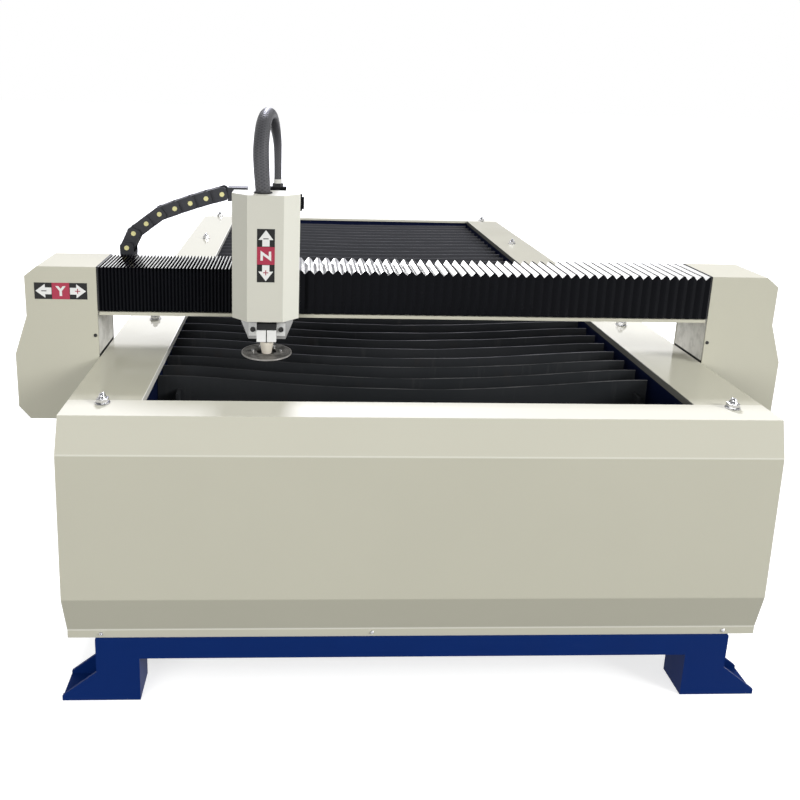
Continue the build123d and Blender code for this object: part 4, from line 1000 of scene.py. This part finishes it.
hexagon = bmesh.new()
nut_radius = nut_flats / 2 / cos(pi / 6)
bmesh.ops.create_circle(hexagon, cap_ends=True, segments=6, radius=nut_radius)
bmesh.ops.translate(hexagon, verts=hexagon.verts, vec=(0, 0, washer_top))
raised = bmesh.ops.extrude_face_region(hexagon, geom=hexagon.faces[:])["geom"]
top_verts = [part for part in raised if isinstance(part, bmesh.types.BMVert)]
bmesh.ops.translate(hexagon, verts=top_verts, vec=(0, 0, nut_height))
rim = [edge for edge in hexagon.edges if all(vert in top_verts for vert in edge.verts)]
bmesh.ops.bevel(
    hexagon, geom=rim, offset=0.0022, affect="EDGES", segments=2, profile=0.5, material=-1
)
nut = pattern_from(hexagon)

dome_base, dome_radius, collar_radius = washer_top + nut_height, 0.0090, 0.0112
dome_middle = dome_base + 0.0050
dome_line = [(collar_radius, dome_base - 0.001), (collar_radius, dome_base + 0.0012)]
for step in range(9):
    angle = step * pi / 16
    dome_line.append((dome_radius * cos(angle), dome_middle + dome_radius * sin(angle)))
dome = spun(dome_line, steps=28)

nut_x, nut_pitch = 0.850, 0.760
nut_shape = bmesh.new()
for row in range(5):
    for x in (-nut_x, nut_x):
        for pattern in (washer, nut, dome):
            stamp(nut_shape, pattern, (x, (row - 2) * nut_pitch, table_top))
chrome_finish = [finishes["chrome_nuts"]]
cap_nuts = piece_from(nut_shape, "domed_cap_nuts", "table", chrome_finish)
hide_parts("cap_nuts")
print("cap nuts", len(cap_nuts.data.polygons), "faces")

# %% [markdown]
# ## Catch on the torch cover
# A small black catch sits on the right side of the torch cover, near its top. It is a rounded plate
# with a lever on it, two blocks with bevelled edges, and a button screw at each end.

# %% Cover catch
def rounded_block(low, high, edge):
    """A block between two corners, with its edges rounded."""
    shape = bmesh.new()
    bmesh.ops.create_cube(shape, size=1)
    bmesh.ops.scale(shape, verts=shape.verts, vec=[b - a for a, b in zip(low, high)])
    bmesh.ops.translate(shape, verts=shape.verts, vec=[(a + b) / 2 for a, b in zip(low, high)])
    bmesh.ops.bevel(
        shape,
        geom=shape.edges[:],
        offset=edge,
        affect="EDGES",
        segments=2,
        profile=0.5,
        material=-1,
    )
    return pattern_from(shape)


wall_x, catch_y = cover_high[0], -1.163
plate_x = wall_x + 0.004
lever_low, lever_high = (wall_x + 0.003, -1.172, 1.289), (wall_x + 0.011, -1.154, 1.324)
catch_plate = rounded_block((wall_x, -1.176, 1.283), (plate_x, -1.150, 1.333), 0.0010)
catch_lever = rounded_block(lever_low, lever_high, 0.0016)
catch_button = button(0.0030, 0.0016)
catch_shape = bmesh.new()
for pattern in (catch_plate, catch_lever):
    stamp(catch_shape, pattern, (0, 0, 0))
for z in (1.2862, 1.3295):
    stamp(catch_shape, catch_button, (plate_x, catch_y, z), (1, 0, 0))
catch = piece_from(catch_shape, "cover_catch", "carriage", [finishes["arm_black"]])
print("catch", len(catch.data.polygons), "faces")

# %% [markdown]
# ## Axis signs
# A sign on the left leg names the axis along the table, and one on the torch cover, turned on end,
# the lift. Each has a dark ground with a crimson square in its middle for the letter, and a white
# arrow each way with a minus or a plus. The shapes are flat outlines with a little thickness, and
# the letter is text made into a mesh.

# %% Paints and outlines of the signs
def sign_paint(name, colour, rough, level=0.5):
    paint = Paint(name)
    faded = paint.noise(30.0, 4.0)
    tone = paint.mix(faded, dimmed(colour, 0.86), colour)
    return paint.done(
        Base_Color=tone,
        Roughness=faded * 0.15 + rough,
        Specular_IOR_Level=level,
        Normal=paint.bump(paint.noise(300.0), 0.05, 0.0003),
    )


sign_finishes = [
    sign_paint("sign_ground", (0.015, 0.015, 0.015), 0.42, 0.2),
    sign_paint("sign_crimson", (0.37, 0.016, 0.052), 0.40),
    sign_paint("sign_white", (0.80, 0.80, 0.78), 0.40),
]
dark, crimson, bright = range(3)
film = 0.0004
sign_size, square_size, bar_size = (0.157, 0.051), (0.052, 0.051), (0.0150, 0.0026)
half_arrow = [(0.0275, -0.0105), (0.0465, -0.0105), (0.0465, -0.0215), (0.0750, 0)]
arrow = half_arrow + [(x, -y) for x, y in reversed(half_arrow[:3])]
mark_x = 0.0500


def flat(shape, outline, layer, finish):
    """A thin plate with this outline, on the layers of film below it."""
    before = set(shape.faces)
    face = shape.faces.new([shape.verts.new((x, y, 0)) for x, y in outline])
    raised = bmesh.ops.extrude_face_region(shape, geom=[face])["geom"]
    verts = [part for part in raised if isinstance(part, bmesh.types.BMVert)]
    bmesh.ops.translate(shape, verts=verts, vec=(0, 0, film * layer))
    for made in set(shape.faces) - before:
        made.material_index = finish


def box_outline(x, y, width, height):
    corners = ((-1, -1), (1, -1), (1, 1), (-1, 1))
    return [(x + i * width / 2, y + j * height / 2) for i, j in corners]


# %% Axis signs
def letter_mesh(name, letter):
    """A letter as a thin mesh, with its middle at the origin."""
    text = bpy.data.curves.new(name, "FONT")
    text.body = letter
    text.size = 0.040
    text.align_x, text.align_y = "CENTER", "CENTER"
    text.offset = 0.0017
    text.extrude = film / 2
    drawn = bpy.data.objects.new(name + "_text", text)
    bpy.context.collection.objects.link(drawn)
    bpy.context.view_layer.update()
    evaluated = drawn.evaluated_get(bpy.context.evaluated_depsgraph_get())
    mesh = bpy.data.meshes.new_from_object(evaluated)
    bpy.data.objects.remove(drawn)
    middle = []
    for axis in (0, 1):
        places = [vert.co[axis] for vert in mesh.vertices]
        middle.append((min(places) + max(places)) / 2)
    mesh.transform(Matrix.Translation((-middle[0], -middle[1], film * 2.6)))
    return mesh


def axis_sign(name, letter, body, place, across, up):
    shape = bmesh.new()
    flat(shape, box_outline(0, 0, *sign_size), 1, dark)
    flat(shape, box_outline(0, 0, *square_size), 2, crimson)
    for way in (-1, 1):
        flat(shape, [(way * x, y) for x, y in arrow], 2, bright)
    level_bar = bar_size if across[2] == 0 else bar_size[::-1]
    flat(shape, box_outline(-mark_x, 0, *level_bar), 3, dark)
    flat(shape, box_outline(mark_x, 0, *bar_size), 3, crimson)
    flat(shape, box_outline(mark_x, 0, *bar_size[::-1]), 3, crimson)
    mesh = letter_mesh(name, letter)
    before = set(shape.faces)
    shape.from_mesh(mesh)
    for face in set(shape.faces) - before:
        face.material_index = bright
    bpy.data.meshes.remove(mesh)
    bmesh.ops.recalc_face_normals(shape, faces=shape.faces)
    out = Vector(across).cross(Vector(up))
    turn = Matrix((across, up, out)).transposed().to_4x4()
    bmesh.ops.transform(shape, matrix=Matrix.Translation(place) @ turn, verts=shape.verts)
    made = piece_from(shape, name, body, sign_finishes)
    print(name, len(made.data.polygons), "faces")


leg_sign, cover_sign = (-1.0545, leg_low[1], 1.0245), (-0.4355, cover_low[1], 1.166)
axis_sign("axis_sign_y", "Y", "gantry", leg_sign, (1, 0, 0), (0, 0, 1))
axis_sign("axis_sign_z", "Z", "carriage", cover_sign, (0, 0, -1), (1, 0, 0))
